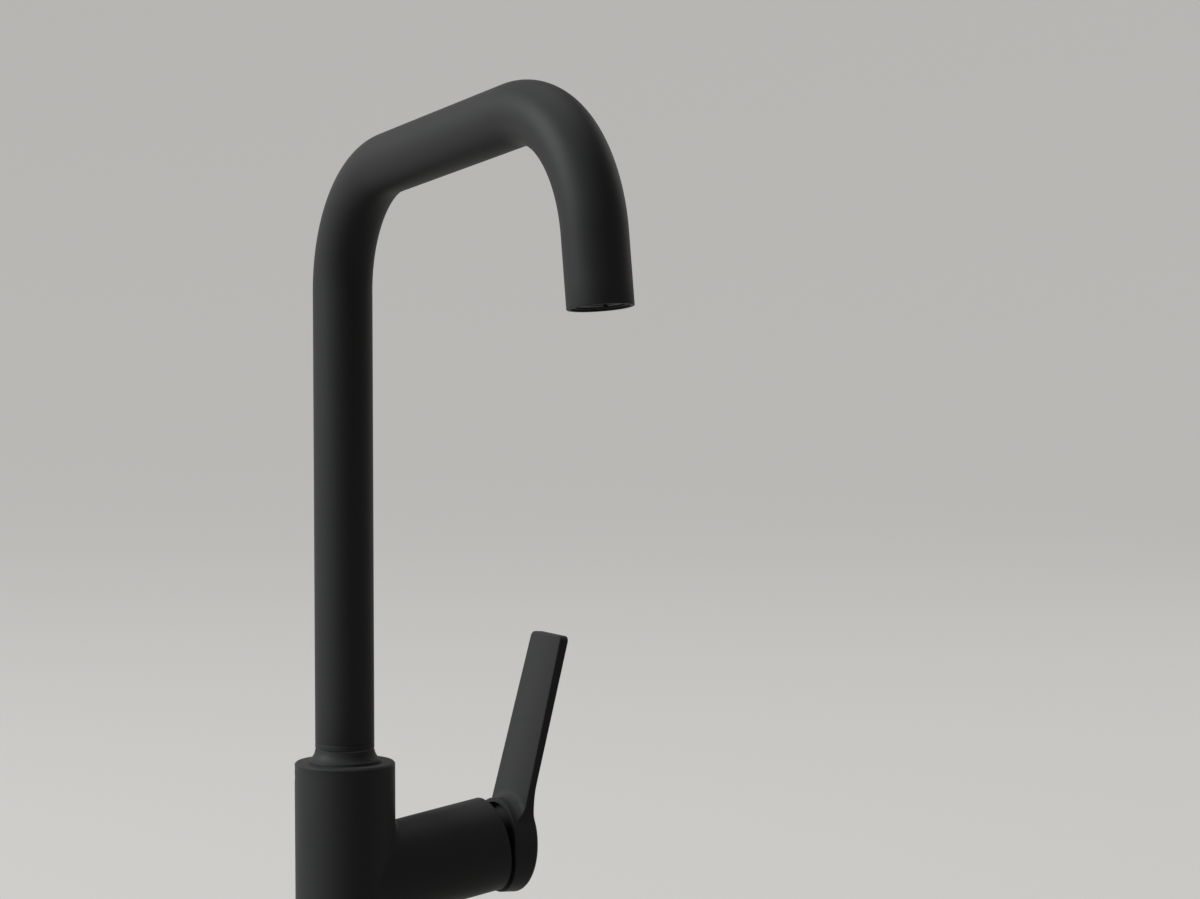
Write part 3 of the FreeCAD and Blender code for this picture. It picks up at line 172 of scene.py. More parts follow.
class TapLeverSizes(bpy.types.PropertyGroup):
    hub_radius: length("Hub radius", 22.9 * MM, "Radius of the hub")
    hub_back: length("Hub back", 5.5 * MM, "Pivot to the hub's back")
    hub_face: length("Hub face", 18.6 * MM, "Pivot to the hub's outer face")
    hub_rounding: length("Hub rounding", 2.2 * MM, "Rounding of the hub's outer rim")
    reach: length("Reach", 103.6 * MM, "Pivot to the paddle's tip")
    tip_width: length("Tip width", 29.2 * MM, "Width of the paddle at its tip")
    root_width: length("Root width", 34.4 * MM, "Width of the paddle at the hub")
    corner: length("Corner", 3 * MM, "Rounding of the tip's two corners")
    side_hollow: length("Side hollow", 9 * MM, "Hollow where the paddle's sides meet the hub")
    inner_offset: length("Inner face", 13 * MM, "Pivot to the paddle's inner face at the hub's rim")
    lean: angle("Lean", 10.45, "Paddle off square to the hub's axis")
    root_thickness: length("Root thickness", 3.7 * MM, "Thickness of the paddle at the hub")
    tip_thickness: length("Tip thickness", 4.9 * MM, "Thickness of the paddle at its tip")
    scoop: length("Scoop", 5 * MM, "Hollow between the paddle's inner face and the hub")
    edge: length("Edge", 0.7 * MM, "Rounding of the paddle's edges")
    neck_hollow: length("Neck hollow", 50 * MM, "Radius of the hollow at the foot of the outer face")
    neck_shoulder: length("Neck shoulder", 15 * MM, "Radius from that hollow to the hub's face")
    neck_sink: length("Neck sink", 0.95 * MM, "Depth of that hollow below the hub's face")


class TapFinishes(bpy.types.PropertyGroup):
    coating: colour("Coating", (0.036, 0.0363, 0.0358), "Matt coating of all that shows")
    brass: colour("Brass", (0.66, 0.50, 0.26), "Turned brass under the worktop and inside")
    steel: colour("Steel", (0.58, 0.58, 0.57), "Screws, washer and clips")
    rubber: colour("Rubber", (0.03, 0.03, 0.03), "Seals and gasket")
    plastic: colour("Plastic", (0.75, 0.75, 0.72), "Moulded parts of the valve and the aerator")
    dark_plastic: colour("Dark plastic", (0.035, 0.036, 0.037), "Glide rings and the aerator's housing")
    ceramic: colour("Ceramic", (0.86, 0.86, 0.84), "Valve discs")
    floor: colour("Floor", (0.72, 0.71, 0.69), "Floor and backdrop")


# Tools for shapes

TUBE_SIDES = 128
TURNED_SIDES = 128
ROUNDING_STEPS = 5
THREAD_ROWS_PER_TURN = 6
MERGE = 0.002 * MM
NEAR = 0.01 * MM
SHARP = math.radians(28)
THREAD_SHARP = math.radians(40)
BEVEL_SHARP = math.radians(40)


def pick_none():
    """Leaves edit mode and deselects every object."""
    if bpy.context.object and bpy.context.object.mode != "OBJECT":
        bpy.ops.object.mode_set(mode="OBJECT")
    bpy.ops.object.select_all(action="DESELECT")


def pick(piece):
    """Makes a piece the only selected object."""
    pick_none()
    piece.select_set(True)
    bpy.context.view_layer.objects.active = piece


def edit(piece):
    """Opens a piece in edit mode with nothing selected."""
    pick(piece)
    bpy.ops.object.mode_set(mode="EDIT")
    bpy.ops.mesh.select_all(action="DESELECT")


def select_vertices(piece, test):
    """Selects, in edit mode, the vertices whose places pass a test."""
    bpy.ops.object.mode_set(mode="OBJECT")
    bpy.context.tool_settings.mesh_select_mode = (True, False, False)
    picked = [test(vertex.co) for vertex in piece.data.vertices]
    for edge in piece.data.edges:
        edge.select = picked[edge.vertices[0]] and picked[edge.vertices[1]]
    for face in piece.data.polygons:
        face.select = all(picked[index] for index in face.vertices)
    for vertex, wanted in zip(piece.data.vertices, picked):
        vertex.select = wanted
    bpy.ops.object.mode_set(mode="EDIT")


def close_shell(piece):
    """Merges doubles and turns all faces outwards."""
    edit(piece)
    bpy.ops.mesh.select_all(action="SELECT")
    bpy.ops.mesh.remove_doubles(threshold=MERGE)
    bpy.ops.mesh.dissolve_degenerate(threshold=MERGE)
    bpy.ops.mesh.normals_make_consistent(inside=False)
    bpy.ops.object.mode_set(mode="OBJECT")


def apply_modifier(piece, kind, **settings):
    """Gives a piece a modifier with its settings and applies it."""
    pick(piece)
    modifier = piece.modifiers.new(kind.title(), kind)
    for name, value in settings.items():
        setattr(modifier, name, value)
    bpy.ops.object.modifier_apply(modifier=modifier.name)


def cut(piece, *tools, operation="DIFFERENCE"):
    """Cuts closed tools out of a piece, or keeps what they share, and removes the tools."""
    for tool in tools:
        apply_modifier(piece, "BOOLEAN", operation=operation, solver="EXACT", object=tool)
        bpy.data.objects.remove(tool)


def join(piece, others):
    """Makes other objects part of a piece."""
    pick(piece)
    for other in others:
        other.select_set(True)
    bpy.ops.object.join()


def settle(piece, where=None):
    """Puts a piece's place into its mesh, with its object at the origin."""
    pick(piece)
    if where is not None:
        piece.matrix_world = where @ piece.matrix_world
    bpy.ops.object.transform_apply(location=True, rotation=True, scale=True)
    return piece


def finish(piece, look, body, node, sharp=SHARP):
    """Shades a piece, gives it its finish and sets it on its body in place of its node."""
    pick(piece)
    bpy.ops.object.shade_smooth_by_angle(angle=sharp)
    piece.data.materials.clear()
    piece.data.materials.append(material(look))
    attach(piece, body)
    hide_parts(node)


def round_edges(piece, width, segments):
    """Rounds the edges of a piece that are sharper than a bevel's limit."""
    apply_modifier(piece, "BEVEL", width=width, segments=segments, limit_method="ANGLE",
                   angle_limit=BEVEL_SHARP)


def arc(centre, radius, start, swing, steps):
    """Points on a circle, from a start angle through a swing, in degrees."""
    turns = [math.radians(start + swing * step / steps) for step in range(steps + 1)]
    return [(centre[0] + radius * math.cos(turn), centre[1] + radius * math.sin(turn))
            for turn in turns]


def rounded(corners, closed=True):
    """An outline whose corners (x, y, rounding) are arcs. A corner without rounding stays sharp."""
    points = []
    total = len(corners)
    for number, corner in enumerate(corners):
        here = Vector(corner[:2])
        if len(corner) < 3 or (not closed and number in (0, total - 1)):
            points.append(tuple(here))
            continue
        back = (Vector(corners[number - 1][:2]) - here).normalized()
        ahead = (Vector(corners[(number + 1) % total][:2]) - here).normalized()
        half = back.angle(ahead) / 2
        reach = corner[2] / math.tan(half)
        middle = here + (back + ahead).normalized() * corner[2] / math.sin(half)
        start = here + back * reach - middle
        sweep = (here + ahead * reach - middle).angle_signed(start)
        for step in range(ROUNDING_STEPS + 1):
            turn = Matrix.Rotation(sweep * step / ROUNDING_STEPS, 2)
            points.append(tuple(middle + turn @ start))
    return points


def extrude_ring(rise, ratio, level):
    """Extrudes the selected ring upwards and scales its new copy about z, in edit mode."""
    bpy.ops.mesh.extrude_region_move(TRANSFORM_OT_translate={"value": (0, 0, rise)})
    bpy.ops.transform.resize(value=(ratio, ratio, 1), center_override=(0, 0, level))


def new_piece(name):
    """The object that was just added, under its name."""
    piece = bpy.context.object
    piece.name = name
    return piece


def ring(name, sides, radius, height, fill="NOTHING"):
    """A circle about z, left in edit mode with all of it selected."""
    pick_none()
    bpy.ops.mesh.primitive_circle_add(vertices=sides, radius=radius, fill_type=fill,
                                      location=(0, 0, height))
    piece = new_piece(name)
    bpy.ops.object.transform_apply(location=True)
    bpy.ops.object.mode_set(mode="EDIT")
    bpy.ops.mesh.select_all(action="SELECT")
    return piece


def turned(name, outline, sides=TURNED_SIDES):
    """A closed piece of revolution about z, from (radius, height) points. An outline that begins
    and ends on the axis makes a solid piece, and any other makes a ring."""
    solid = outline[0][0] == 0
    rings = outline[1:-1] if solid else outline
    first_radius, first_height = rings[0]
    piece = ring(name, sides, first_radius, first_height)
    following = rings[1:] + ([outline[-1]] if solid else [rings[0]])
    for (radius, height), (next_radius, next_height) in zip(rings, following):
        extrude_ring(next_height - height, next_radius / radius, next_height)
    if solid:
        bpy.ops.mesh.merge(type="CENTER")
        # The first ring is selected again and drawn in to the outline's other end.
        bpy.ops.object.mode_set(mode="OBJECT")
        for vertex in piece.data.vertices:
            vertex.select = vertex.index < sides
        for edge in piece.data.edges:
            edge.select = all(index < sides for index in edge.vertices)
        for face in piece.data.polygons:
            face.select = False
        bpy.ops.object.mode_set(mode="EDIT")
        extrude_ring(outline[0][1] - first_height, 0, outline[0][1])
        bpy.ops.mesh.merge(type="CENTER")
    close_shell(piece)
    return piece


def skinned(name, across, along, surface):
    """A grid drawn over a surface, which gives the point for a column and a row, both counted
    from 0. Seams and poles that meet are merged."""
    pick_none()
    bpy.ops.mesh.primitive_grid_add(x_subdivisions=across, y_subdivisions=along, size=1)
    piece = new_piece(name)
    for vertex in piece.data.vertices:
        vertex.co = surface(round((vertex.co.x + 0.5) * across), round((vertex.co.y + 0.5) * along))
    close_shell(piece)
    return piece


def hexagon(name, flats, foot, top):
    """A six-sided prism that stands on z, with a corner on x."""
    pick_none()
    bpy.ops.mesh.primitive_cylinder_add(
        vertices=6, radius=flats / math.sqrt(3), depth=top - foot,
        location=(0, 0, (foot + top) / 2), rotation=(0, 0, math.pi / 2))
    piece = new_piece(name)
    return settle(piece)


def box_tool(name, corner, opposite):
    """A box between two opposite corners."""
    pick_none()
    corner, opposite = Vector(corner), Vector(opposite)
    bpy.ops.mesh.primitive_cube_add(size=1, location=(corner + opposite) / 2)
    piece = new_piece(name)
    piece.scale = [abs(side) for side in opposite - corner]
    return settle(piece)


def rod(name, radius, start, stop, sides=48):
    """A round cutter between two points."""
    pick_none()
    start, stop = Vector(start), Vector(stop)
    run = stop - start
    bpy.ops.mesh.primitive_cylinder_add(vertices=sides, radius=radius, depth=run.length)
    piece = new_piece(name)
    turn = run.to_track_quat("Z", "Y").to_matrix().to_4x4()
    return settle(piece, Matrix.Translation((start + stop) / 2) @ turn)


def threaded(name, radius, depth, pitch, foot, top, sides):
    """A closed rod along z with a helical thread whose crests lie on the radius."""
    rows = round((top - foot) / pitch * THREAD_ROWS_PER_TURN)

    def surface(column, row):
        if row in (0, rows + 2):
            return Vector((0, 0, foot if row == 0 else top))
        height = foot + (top - foot) * (row - 1) / rows
        phase = (height / pitch - column / sides) % 1
        ridge = 1 - abs(phase * 2 - 1)
        fade = min(1, (height - foot) / pitch, (top - height) / pitch)
        here = radius - depth * (1 - ridge * fade)
        turn = math.tau * column / sides
        return Vector((here * math.cos(turn), here * math.sin(turn), height))

    return skinned(name, sides, rows + 2, surface)


def chamfered_nut(name, flats, foot, top, chamfer):
    """A hexagon, given by the width across its flats, whose corners are turned down to a cone at
    both ends."""
    corner, slope = flats / math.sqrt(3), math.radians(30)
    piece = hexagon(name, flats, foot, top)
    wide = corner + chamfer
    narrow = flats / 2 - chamfer / 4
    drop = (wide - narrow) * math.tan(slope)
    cone = turned("cone", [(0, foot), (narrow, foot), (wide, foot + drop), (wide, top - drop),
                           (narrow, top), (0, top)])
    cut(piece, cone, operation="INTERSECT")
    round_edges(piece, width=0.25 * MM, segments=2)
    return piece


# Finishes

def node_group(name, inputs, outputs):
    """A shader group with named number inputs and outputs, and its two end nodes."""
    group = bpy.data.node_groups.new(name, "ShaderNodeTree")
    for title, default in inputs.items():
        socket = group.interface.new_socket(title, in_out="INPUT", socket_type="NodeSocketFloat")
        socket.default_value = default
    for title in outputs:
        group.interface.new_socket(title, in_out="OUTPUT", socket_type="NodeSocketFloat")
    start = group.nodes.new("NodeGroupInput")
    end = group.nodes.new("NodeGroupOutput")
    return group, start, end


def math_node(tree, operation, first, second):
    """A Math node whose inputs are sockets or numbers."""
    node = tree.nodes.new("ShaderNodeMath")
    node.operation = operation
    for socket, value in zip(node.inputs, (first, second)):
        if isinstance(value, bpy.types.NodeSocket):
            tree.links.new(value, socket)
        else:
            socket.default_value = value
    return node.outputs[0]


def noise(tree, place, scale, detail, roughness=0.5):
    """A Noise Texture's value at a place, with its scale from a socket."""
    node = tree.nodes.new("ShaderNodeTexNoise")
    node.inputs["Detail"].default_value = detail
    node.inputs["Roughness"].default_value = roughness
    tree.links.new(place, node.inputs["Vector"])
    tree.links.new(scale, node.inputs["Scale"])
    return node.outputs["Fac"]


def make_grain_group():
    """Fine skin of a sprayed or moulded surface, with slow drift in its tone."""
    group, start, end = node_group("Surface grain", {"Grain per metre": 2500, "Drift per metre": 30},
                                   ("Grain", "Drift"))
    place = group.nodes.new("ShaderNodeTexCoord").outputs["Object"]
    fine = noise(group, place, start.outputs["Grain per metre"], detail=2)
    slow = noise(group, place, start.outputs["Drift per metre"], detail=3)
    group.links.new(fine, end.inputs["Grain"])
    group.links.new(slow, end.inputs["Drift"])


def make_turning_group():
    """Fine rings that a lathe leaves, square to an upright axis, with small breaks."""
    group, start, end = node_group("Turning marks", {"Rings per metre": 3000}, ("Rings",))
    place = group.nodes.new("ShaderNodeTexCoord").outputs["Object"]
    apart = group.nodes.new("ShaderNodeSeparateXYZ")
    group.links.new(place, apart.inputs[0])
    joined = group.nodes.new("ShaderNodeCombineXYZ")
    # Squeezed along z, the noise runs out into rings.
    squeeze = 60
    group.links.new(math_node(group, "MULTIPLY", apart.outputs["Z"], squeeze), joined.inputs["Z"])
    group.links.new(apart.outputs["X"], joined.inputs["X"])
    group.links.new(apart.outputs["Y"], joined.inputs["Y"])
    scale = math_node(group, "DIVIDE", start.outputs[0], squeeze)
    rings = noise(group, joined.outputs[0], scale, detail=3, roughness=0.6)
    group.links.new(rings, end.inputs["Rings"])


# The frame brings plain materials under the slots' own names, so the finishes have an ending.
FINISH = "_finish"

# Plastic nodes that are black and not pale.
DARK_NODES = ("upper_glide_ring", "lower_glide_ring", "aerator_housing")


def material(name):
    """The finish that was made under a name."""
    return bpy.data.materials[name + FINISH]


class Finish:
    """A material under way, with its tree and its shader."""

    def __init__(self, name, base, roughness, metallic=0.0):
        made = bpy.data.materials.new(name + FINISH)
        made.use_nodes = True
        self.tree = made.node_tree
        self.shader = self.tree.nodes["Principled BSDF"]
        self.base = base
        self.roughness = roughness
        self.shader.inputs["Base Color"].default_value = (*base, 1)
        self.shader.inputs["Roughness"].default_value = roughness
        self.shader.inputs["Metallic"].default_value = metallic

    def group(self, name, **values):
        """Places a pattern group with its own values."""
        node = self.tree.nodes.new("ShaderNodeGroup")
        node.node_tree = bpy.data.node_groups[name]
        for title, value in values.items():
            node.inputs[title.replace("_", " ")].default_value = value
        return node

    def mix_colours(self, mask, first, second):
        """Lets a mask lead the base colour from one colour to another."""
        blend = self.tree.nodes.new("ShaderNodeMix")
        blend.data_type = "RGBA"
        blend.inputs["A"].default_value = (*first, 1)
        blend.inputs["B"].default_value = (*second, 1)
        self.tree.links.new(mask, blend.inputs["Factor"])
        self.tree.links.new(blend.outputs["Result"], self.shader.inputs["Base Color"])

    def vary_colour(self, mask, share):
        """Shades the base colour by a mask, up to a share either way."""
        self.mix_colours(mask, [part * (1 - share) for part in self.base],
                         [min(1, part * (1 + share)) for part in self.base])

    def vary_roughness(self, mask, amount):
        """Moves the roughness by a mask, up to an amount either way."""
        lowest = self.roughness - amount
        spread = math_node(self.tree, "MULTIPLY", mask, amount * 2)
        self.tree.links.new(math_node(self.tree, "ADD", spread, lowest), self.shader.inputs["Roughness"])

    def bump(self, height, depth, strength):
        """Raises the surface by a height from 0 to 1, up to a depth."""
        node = self.tree.nodes.new("ShaderNodeBump")
        node.inputs["Distance"].default_value = depth
        node.inputs["Strength"].default_value = strength
        self.tree.links.new(height, node.inputs["Height"])
        self.tree.links.new(node.outputs["Normal"], self.shader.inputs["Normal"])


def make_coating(colours):
    """Matt powder coat: a very fine skin that spreads highlights softly."""
    made = Finish("matt_coating", colours.coating, roughness=0.54)
    made.shader.inputs["Specular IOR Level"].default_value = 0.11
    grain = made.group("Surface grain", Grain_per_metre=2600, Drift_per_metre=28)
    made.vary_colour(grain.outputs["Drift"], share=0.07)
    made.vary_roughness(grain.outputs["Drift"], amount=0.05)
    made.bump(grain.outputs["Grain"], depth=0.012 * MM, strength=0.6)


def make_brass(colours):
    """Turned brass, with the lathe's fine rings and a slow drift in its tone."""
    made = Finish("plain_brass", colours.brass, roughness=0.30, metallic=1.0)
    rings = made.group("Turning marks", Rings_per_metre=2500)
    drift = made.group("Surface grain", Grain_per_metre=900, Drift_per_metre=90)
    made.vary_colour(drift.outputs["Drift"], share=0.12)
    made.vary_roughness(rings.outputs["Rings"], amount=0.10)
    made.bump(rings.outputs["Rings"], depth=0.010 * MM, strength=0.5)


def make_steel(colours):
    """Stainless steel with fine turning marks."""
    made = Finish("stainless_steel", colours.steel, roughness=0.32, metallic=1.0)
    rings = made.group("Turning marks", Rings_per_metre=3500)
    made.vary_roughness(rings.outputs["Rings"], amount=0.09)
    made.bump(rings.outputs["Rings"], depth=0.008 * MM, strength=0.5)


def make_rubber(colours):
    """Dull black rubber with a coarse skin."""
    made = Finish("black_rubber", colours.rubber, roughness=0.72)
    grain = made.group("Surface grain", Grain_per_metre=1800, Drift_per_metre=120)
    made.vary_colour(grain.outputs["Drift"], share=0.2)
    made.vary_roughness(grain.outputs["Grain"], amount=0.08)
    made.bump(grain.outputs["Grain"], depth=0.03 * MM, strength=0.6)


def make_plastic(name, base):
    """Moulded plastic with a faint grain."""
    made = Finish(name, base, roughness=0.46)
    grain = made.group("Surface grain", Grain_per_metre=1500, Drift_per_metre=80)
    made.vary_colour(grain.outputs["Drift"], share=0.05)
    made.vary_roughness(grain.outputs["Grain"], amount=0.06)
    made.bump(grain.outputs["Grain"], depth=0.02 * MM, strength=0.5)


def make_ceramic(colours):
    """Fired ceramic, ground smooth."""
    made = Finish("valve_ceramic", colours.ceramic, roughness=0.16)
    grain = made.group("Surface grain", Grain_per_metre=3500, Drift_per_metre=150)
    made.vary_colour(grain.outputs["Drift"], share=0.03)
    made.vary_roughness(grain.outputs["Grain"], amount=0.04)


def make_floor(colours):
    """Pale ground that keeps the shadow. Rays that only spread light see it darker."""
    made = Finish("studio_floor", colours.floor, roughness=0.9)
    tree = made.tree
    shadow_share, glow, hidden_tone = 0.24, 0.60, (0.10, 0.10, 0.10)
    rays = tree.nodes.new("ShaderNodeLightPath")
    glossy = math_node(tree, "MAXIMUM", rays.outputs["Is Camera Ray"], rays.outputs["Is Glossy Ray"])
    seen = math_node(tree, "MAXIMUM", glossy, rays.outputs["Is Transmission Ray"])
    made.mix_colours(seen, hidden_tone, [part * shadow_share for part in colours.floor])
    made.shader.inputs["Emission Color"].default_value = (*colours.floor, 1)
    tree.links.new(math_node(tree, "MULTIPLY", seen, glow), made.shader.inputs["Emission Strength"])


class TAP_OT_finishes(bpy.types.Operator):
    """Makes the materials and gives every solid its own"""
    bl_idname = "tap.finishes"
    bl_label = "Finishes"

    def execute(self, context):
        colours = context.scene.tap_finishes
        make_grain_group()
        make_turning_group()
        for make in (make_coating, make_brass, make_steel, make_rubber, make_ceramic, make_floor):
            make(colours)
        make_plastic("moulded_plastic", colours.plastic)
        make_plastic("dark_plastic", colours.dark_plastic)
        slots = {part["node"]: part["material_slot"] for part in frame["record"]["subparts"]}
        for name, node in NODES.items():
            look = "dark_plastic" if name in DARK_NODES else slots[name]
            node.data.materials.clear()
            node.data.materials.append(material(look))
        return {"FINISHED"}


# Spout

class TAP_OT_spout_tube(bpy.types.Operator):
    """Draws the spout's tube along its two bends, with its wall and rounded rims"""
    bl_idname = "tap.spout_tube"
    bl_label = "Spout tube"

    RISER_STEPS, ARM_STEPS, OUTLET_STEPS = 12, 8, 3
    FIRST_BEND_STEPS, SECOND_BEND_STEPS = 40, 44

    def execute(self, context):
        sizes = context.scene.tap_spout
        base = low("spout_tube").z + sizes.seam_lift
        tube = ring("spout_tube_look", TUBE_SIDES, sizes.tube_radius, base)

        def run_straight(distance, direction, steps):
            move = direction * distance / steps
            for _ in range(steps):
                bpy.ops.mesh.extrude_region_move(TRANSFORM_OT_translate={"value": move})

        def bend(centre, turn, steps):
            bpy.ops.mesh.spin(steps=steps, angle=turn, center=centre, axis=(-1, 0, 0))

        rise = sizes.arm_rise
        radius = sizes.bend_radius
        up = Vector((0, 0, 1))
        along = Vector((0, -math.cos(rise), math.sin(rise)))
        down = Vector((0, -math.sin(rise), -math.cos(rise)))
        run_straight(sizes.riser_top - base, up, self.RISER_STEPS)
        first_centre = Vector((0, -radius, sizes.riser_top))
        bend(first_centre, math.pi / 2 - rise, self.FIRST_BEND_STEPS)
        run_straight(sizes.arm_length, along, self.ARM_STEPS)
        arm_end = first_centre - down * radius + along * sizes.arm_length
        bend(arm_end + down * radius, math.pi / 2, self.SECOND_BEND_STEPS)
        run_straight(sizes.outlet_length, down, self.OUTLET_STEPS)
        bpy.ops.mesh.select_all(action="SELECT")
        bpy.ops.mesh.remove_doubles(threshold=MERGE)
        bpy.ops.mesh.normals_make_consistent(inside=False)
        bpy.ops.object.mode_set(mode="OBJECT")
        apply_modifier(tube, "SOLIDIFY", thickness=sizes.tube_wall, offset=-1, use_even_offset=True)
        round_edges(tube, width=sizes.rim_rounding, segments=3)
        finish(tube, "matt_coating", "spout", "spout_tube")
        return {"FINISHED"}


class TAP_OT_spout_foot(bpy.types.Operator):
    """Turns the brass foot under the tube, with its seal grooves and its coated flange"""
    bl_idname = "tap.spout_foot"
    bl_label = "Spout foot"

    def execute(self, context):
        sizes = context.scene.tap_spout
        foot, top = low("spout_foot").z, high("spout_foot").z
        flange_foot = high("upper_glide_ring").z + FIT
        tube_base = low("spout_tube").z + sizes.seam_lift
        sleeve = sizes.tube_radius - sizes.tube_wall - FIT
        radius, bore = sizes.foot_radius, sizes.foot_bore

        def groove(bottom, roof, depth):
            return [(radius, bottom, 0.15 * MM), (radius - depth, bottom),
                    (radius - depth, roof), (radius, roof, 0.15 * MM)]

        seals_foot, seals_top = low("spout_o_rings").z, high("spout_o_rings").z
        seals, pitch, seal_height, seal_depth = 2, 4.3 * MM, 2.6 * MM, 2.2 * MM
        seal_level = (seals_foot + seals_top - pitch - seal_height) / 2
        outline = [(bore, foot, 0.3 * MM), (radius, foot, 0.5 * MM)]
        for number in range(seals):
            level = seal_level + pitch * number
            outline += groove(level, level + seal_height, seal_depth)
        for node, depth in (("lower_glide_ring", 1.5 * MM), ("snap_ring", 1.3 * MM)):
            outline += groove(low(node).z - FIT, high(node).z + FIT, depth)
        outline += [(radius, flange_foot), (sizes.tube_radius, flange_foot, 0.25 * MM),
                    (sizes.tube_radius, tube_base, 0.25 * MM), (sleeve, tube_base),
                    (sleeve, top, 0.4 * MM), (bore, top, 0.3 * MM)]
        piece = turned("spout_foot_look", rounded(outline))
        self.stop_slot(piece, radius)
        finish(piece, "plain_brass", "spout", "spout_foot")
        piece.data.materials.append(material("matt_coating"))
        margin = 0.1 * MM
        for face in piece.data.polygons:
            outside = math.hypot(face.center.x, face.center.y) > radius + margin
            face.material_index = 1 if outside and face.center.z < tube_base + margin else 0
        return {"FINISHED"}

    def stop_slot(self, piece, radius):
        """The slot round the foot's back, in which the stop screw's point runs."""
        half_height, depth, swing = 1.7 * MM, 2.3 * MM, math.radians(85.1)
        foot, top = stop_level() - half_height, stop_level() + half_height
        floor, outside = radius - depth, radius + PAST
        slot = turned("slot", [(floor, foot), (outside, foot), (outside, top), (floor, top)])
        # Two boxes that cross at the front leave the ring only within the swing from the back.
        over, reach = 3 * MM, 2 * outside
        for side in (-1, 1):
            front = box_tool("front", (-side * over, -reach, foot - PAST), (side * reach, 0, top + PAST))
            settle(front, Matrix.Rotation(side * (math.pi / 2 - swing), 4, "Z"))
            cut(slot, front)
        cut(piece, slot)


# The outlet's pieces are made upright on z, with z = 0 in the plane of the tube's mouth.
OUTLET_RECESS = 0.8 * MM
INSERT_LENGTH = 15 * MM
AERATOR_THREAD = 10.6 * MM
HOUSING_FOOT = 1.5 * MM
HOUSING_LENGTH = 10.4 * MM
SLOT_DEPTH = 1.2 * MM


def to_mouth(piece, sizes):
    """Moves an outlet's piece from upright on z to its place in the tube's mouth."""
    rise = sizes.arm_rise
    up = Vector((0, math.sin(rise), math.cos(rise)))
    seat = (low("outlet_insert") + high("outlet_insert")) / 2
    mouth = seat - up * (INSERT_LENGTH / 2 + OUTLET_RECESS)
    settle(piece, Matrix.Translation(mouth) @ Matrix.Rotation(-rise, 4, "X"))


class TAP_OT_outlet_insert(bpy.types.Operator):
    """Turns the threaded insert that sits in the tube's mouth"""
    bl_idname = "tap.outlet_insert"
    bl_label = "Outlet insert"

    def execute(self, context):
        sizes = context.scene.tap_spout
        sleeve = sizes.tube_radius - sizes.tube_wall - FIT
        top = OUTLET_RECESS + INSERT_LENGTH
        shoulder = top - 1.8 * MM
        piece = turned("outlet_insert_look", rounded([
            (AERATOR_THREAD, OUTLET_RECESS, 0.4 * MM), (sleeve, OUTLET_RECESS, 0.3 * MM), (sleeve, top),
            (sizes.core_radius, top), (sizes.core_radius, shoulder), (AERATOR_THREAD, shoulder)]))
        to_mouth(piece, sizes)
        finish(piece, "matt_coating", "spout", "outlet_insert")
        return {"FINISHED"}


class TAP_OT_aerator_housing(bpy.types.Operator):
    """Turns the aerator's housing and cuts its key slots"""
    bl_idname = "tap.aerator_housing"
    bl_label = "Aerator housing"

    def execute(self, context):
        sizes = context.scene.tap_spout
        outer, inner = AERATOR_THREAD - FIT, sizes.core_radius + FIT
        top = HOUSING_FOOT + HOUSING_LENGTH
        piece = turned("aerator_housing_look", rounded([
            (inner, HOUSING_FOOT, 0.4 * MM), (outer, HOUSING_FOOT, 0.4 * MM),
            (outer, top), (inner, top)]))
        slots, slot_half = 4, 1 * MM
        for number in range(slots):
            slot = box_tool("slot", (inner - PAST, -slot_half, 0),
                            (outer + PAST, slot_half, HOUSING_FOOT + SLOT_DEPTH))
            settle(slot, Matrix.Rotation(math.tau * (number + 0.5) / slots, 4, "Z"))
            cut(piece, slot)
        to_mouth(piece, sizes)
        finish(piece, "dark_plastic", "spout", "aerator_housing")
        return {"FINISHED"}


class TAP_OT_aerator_core(bpy.types.Operator):
    """Makes the aerator's core: a ring that holds a net of square cells, open right through"""
    bl_idname = "tap.aerator_core"
    bl_label = "Aerator core"

    def execute(self, context):
        sizes = context.scene.tap_spout
        foot, radius, edge = HOUSING_FOOT + SLOT_DEPTH, sizes.core_radius, 0.2 * MM
        top, inner = foot + 7 * MM, radius - 1.1 * MM
        piece = turned("aerator_core_look", [
            (inner, foot), (radius - edge, foot), (radius, foot + edge), (radius, top), (inner, top)])
        pitch = inner / sizes.core_cells
        half_bar, bar_top = 0.16 * MM, foot + 2.4 * MM
        bars = []
        for number in range(-sizes.core_cells + 1, sizes.core_cells):
            across = number * pitch
            # The bars end in the middle of the ring's wall, and one way lies a little deeper.
            reach = math.sqrt(((radius + inner) / 2) ** 2 - across ** 2)
            for turn, lift in ((0, 0.25 * MM), (1, 0.3 * MM)):
                near, far = (across - half_bar, -reach), (across + half_bar, reach)
                if turn:
                    near, far = (near[1], near[0]), (far[1], far[0])
                bars.append(box_tool("bar", (*near, foot + lift), (*far, bar_top)))
        join(piece, bars)
        to_mouth(piece, sizes)
        finish(piece, "dark_plastic", "spout", "aerator_core")
        return {"FINISHED"}


# Body

def fillet_ball(sizes, turn):
    """Centre of a ball that rolls between boss and column, at a turn about the boss from its top."""
    around_boss = sizes.boss_radius + sizes.boss_fillet
    around_column = sizes.column_radius + sizes.boss_fillet
    side = around_boss * math.sin(turn)
    lift = around_boss * math.cos(turn)
    plan = math.sqrt(around_column ** 2 - side ** 2)
    # The boss's own frame: x down, y across, z out.
    out = (plan + lift * math.sin(BOSS_RISE)) / math.cos(BOSS_RISE)
    return VALVE_FRAME @ Vector((-lift, side, out)), out


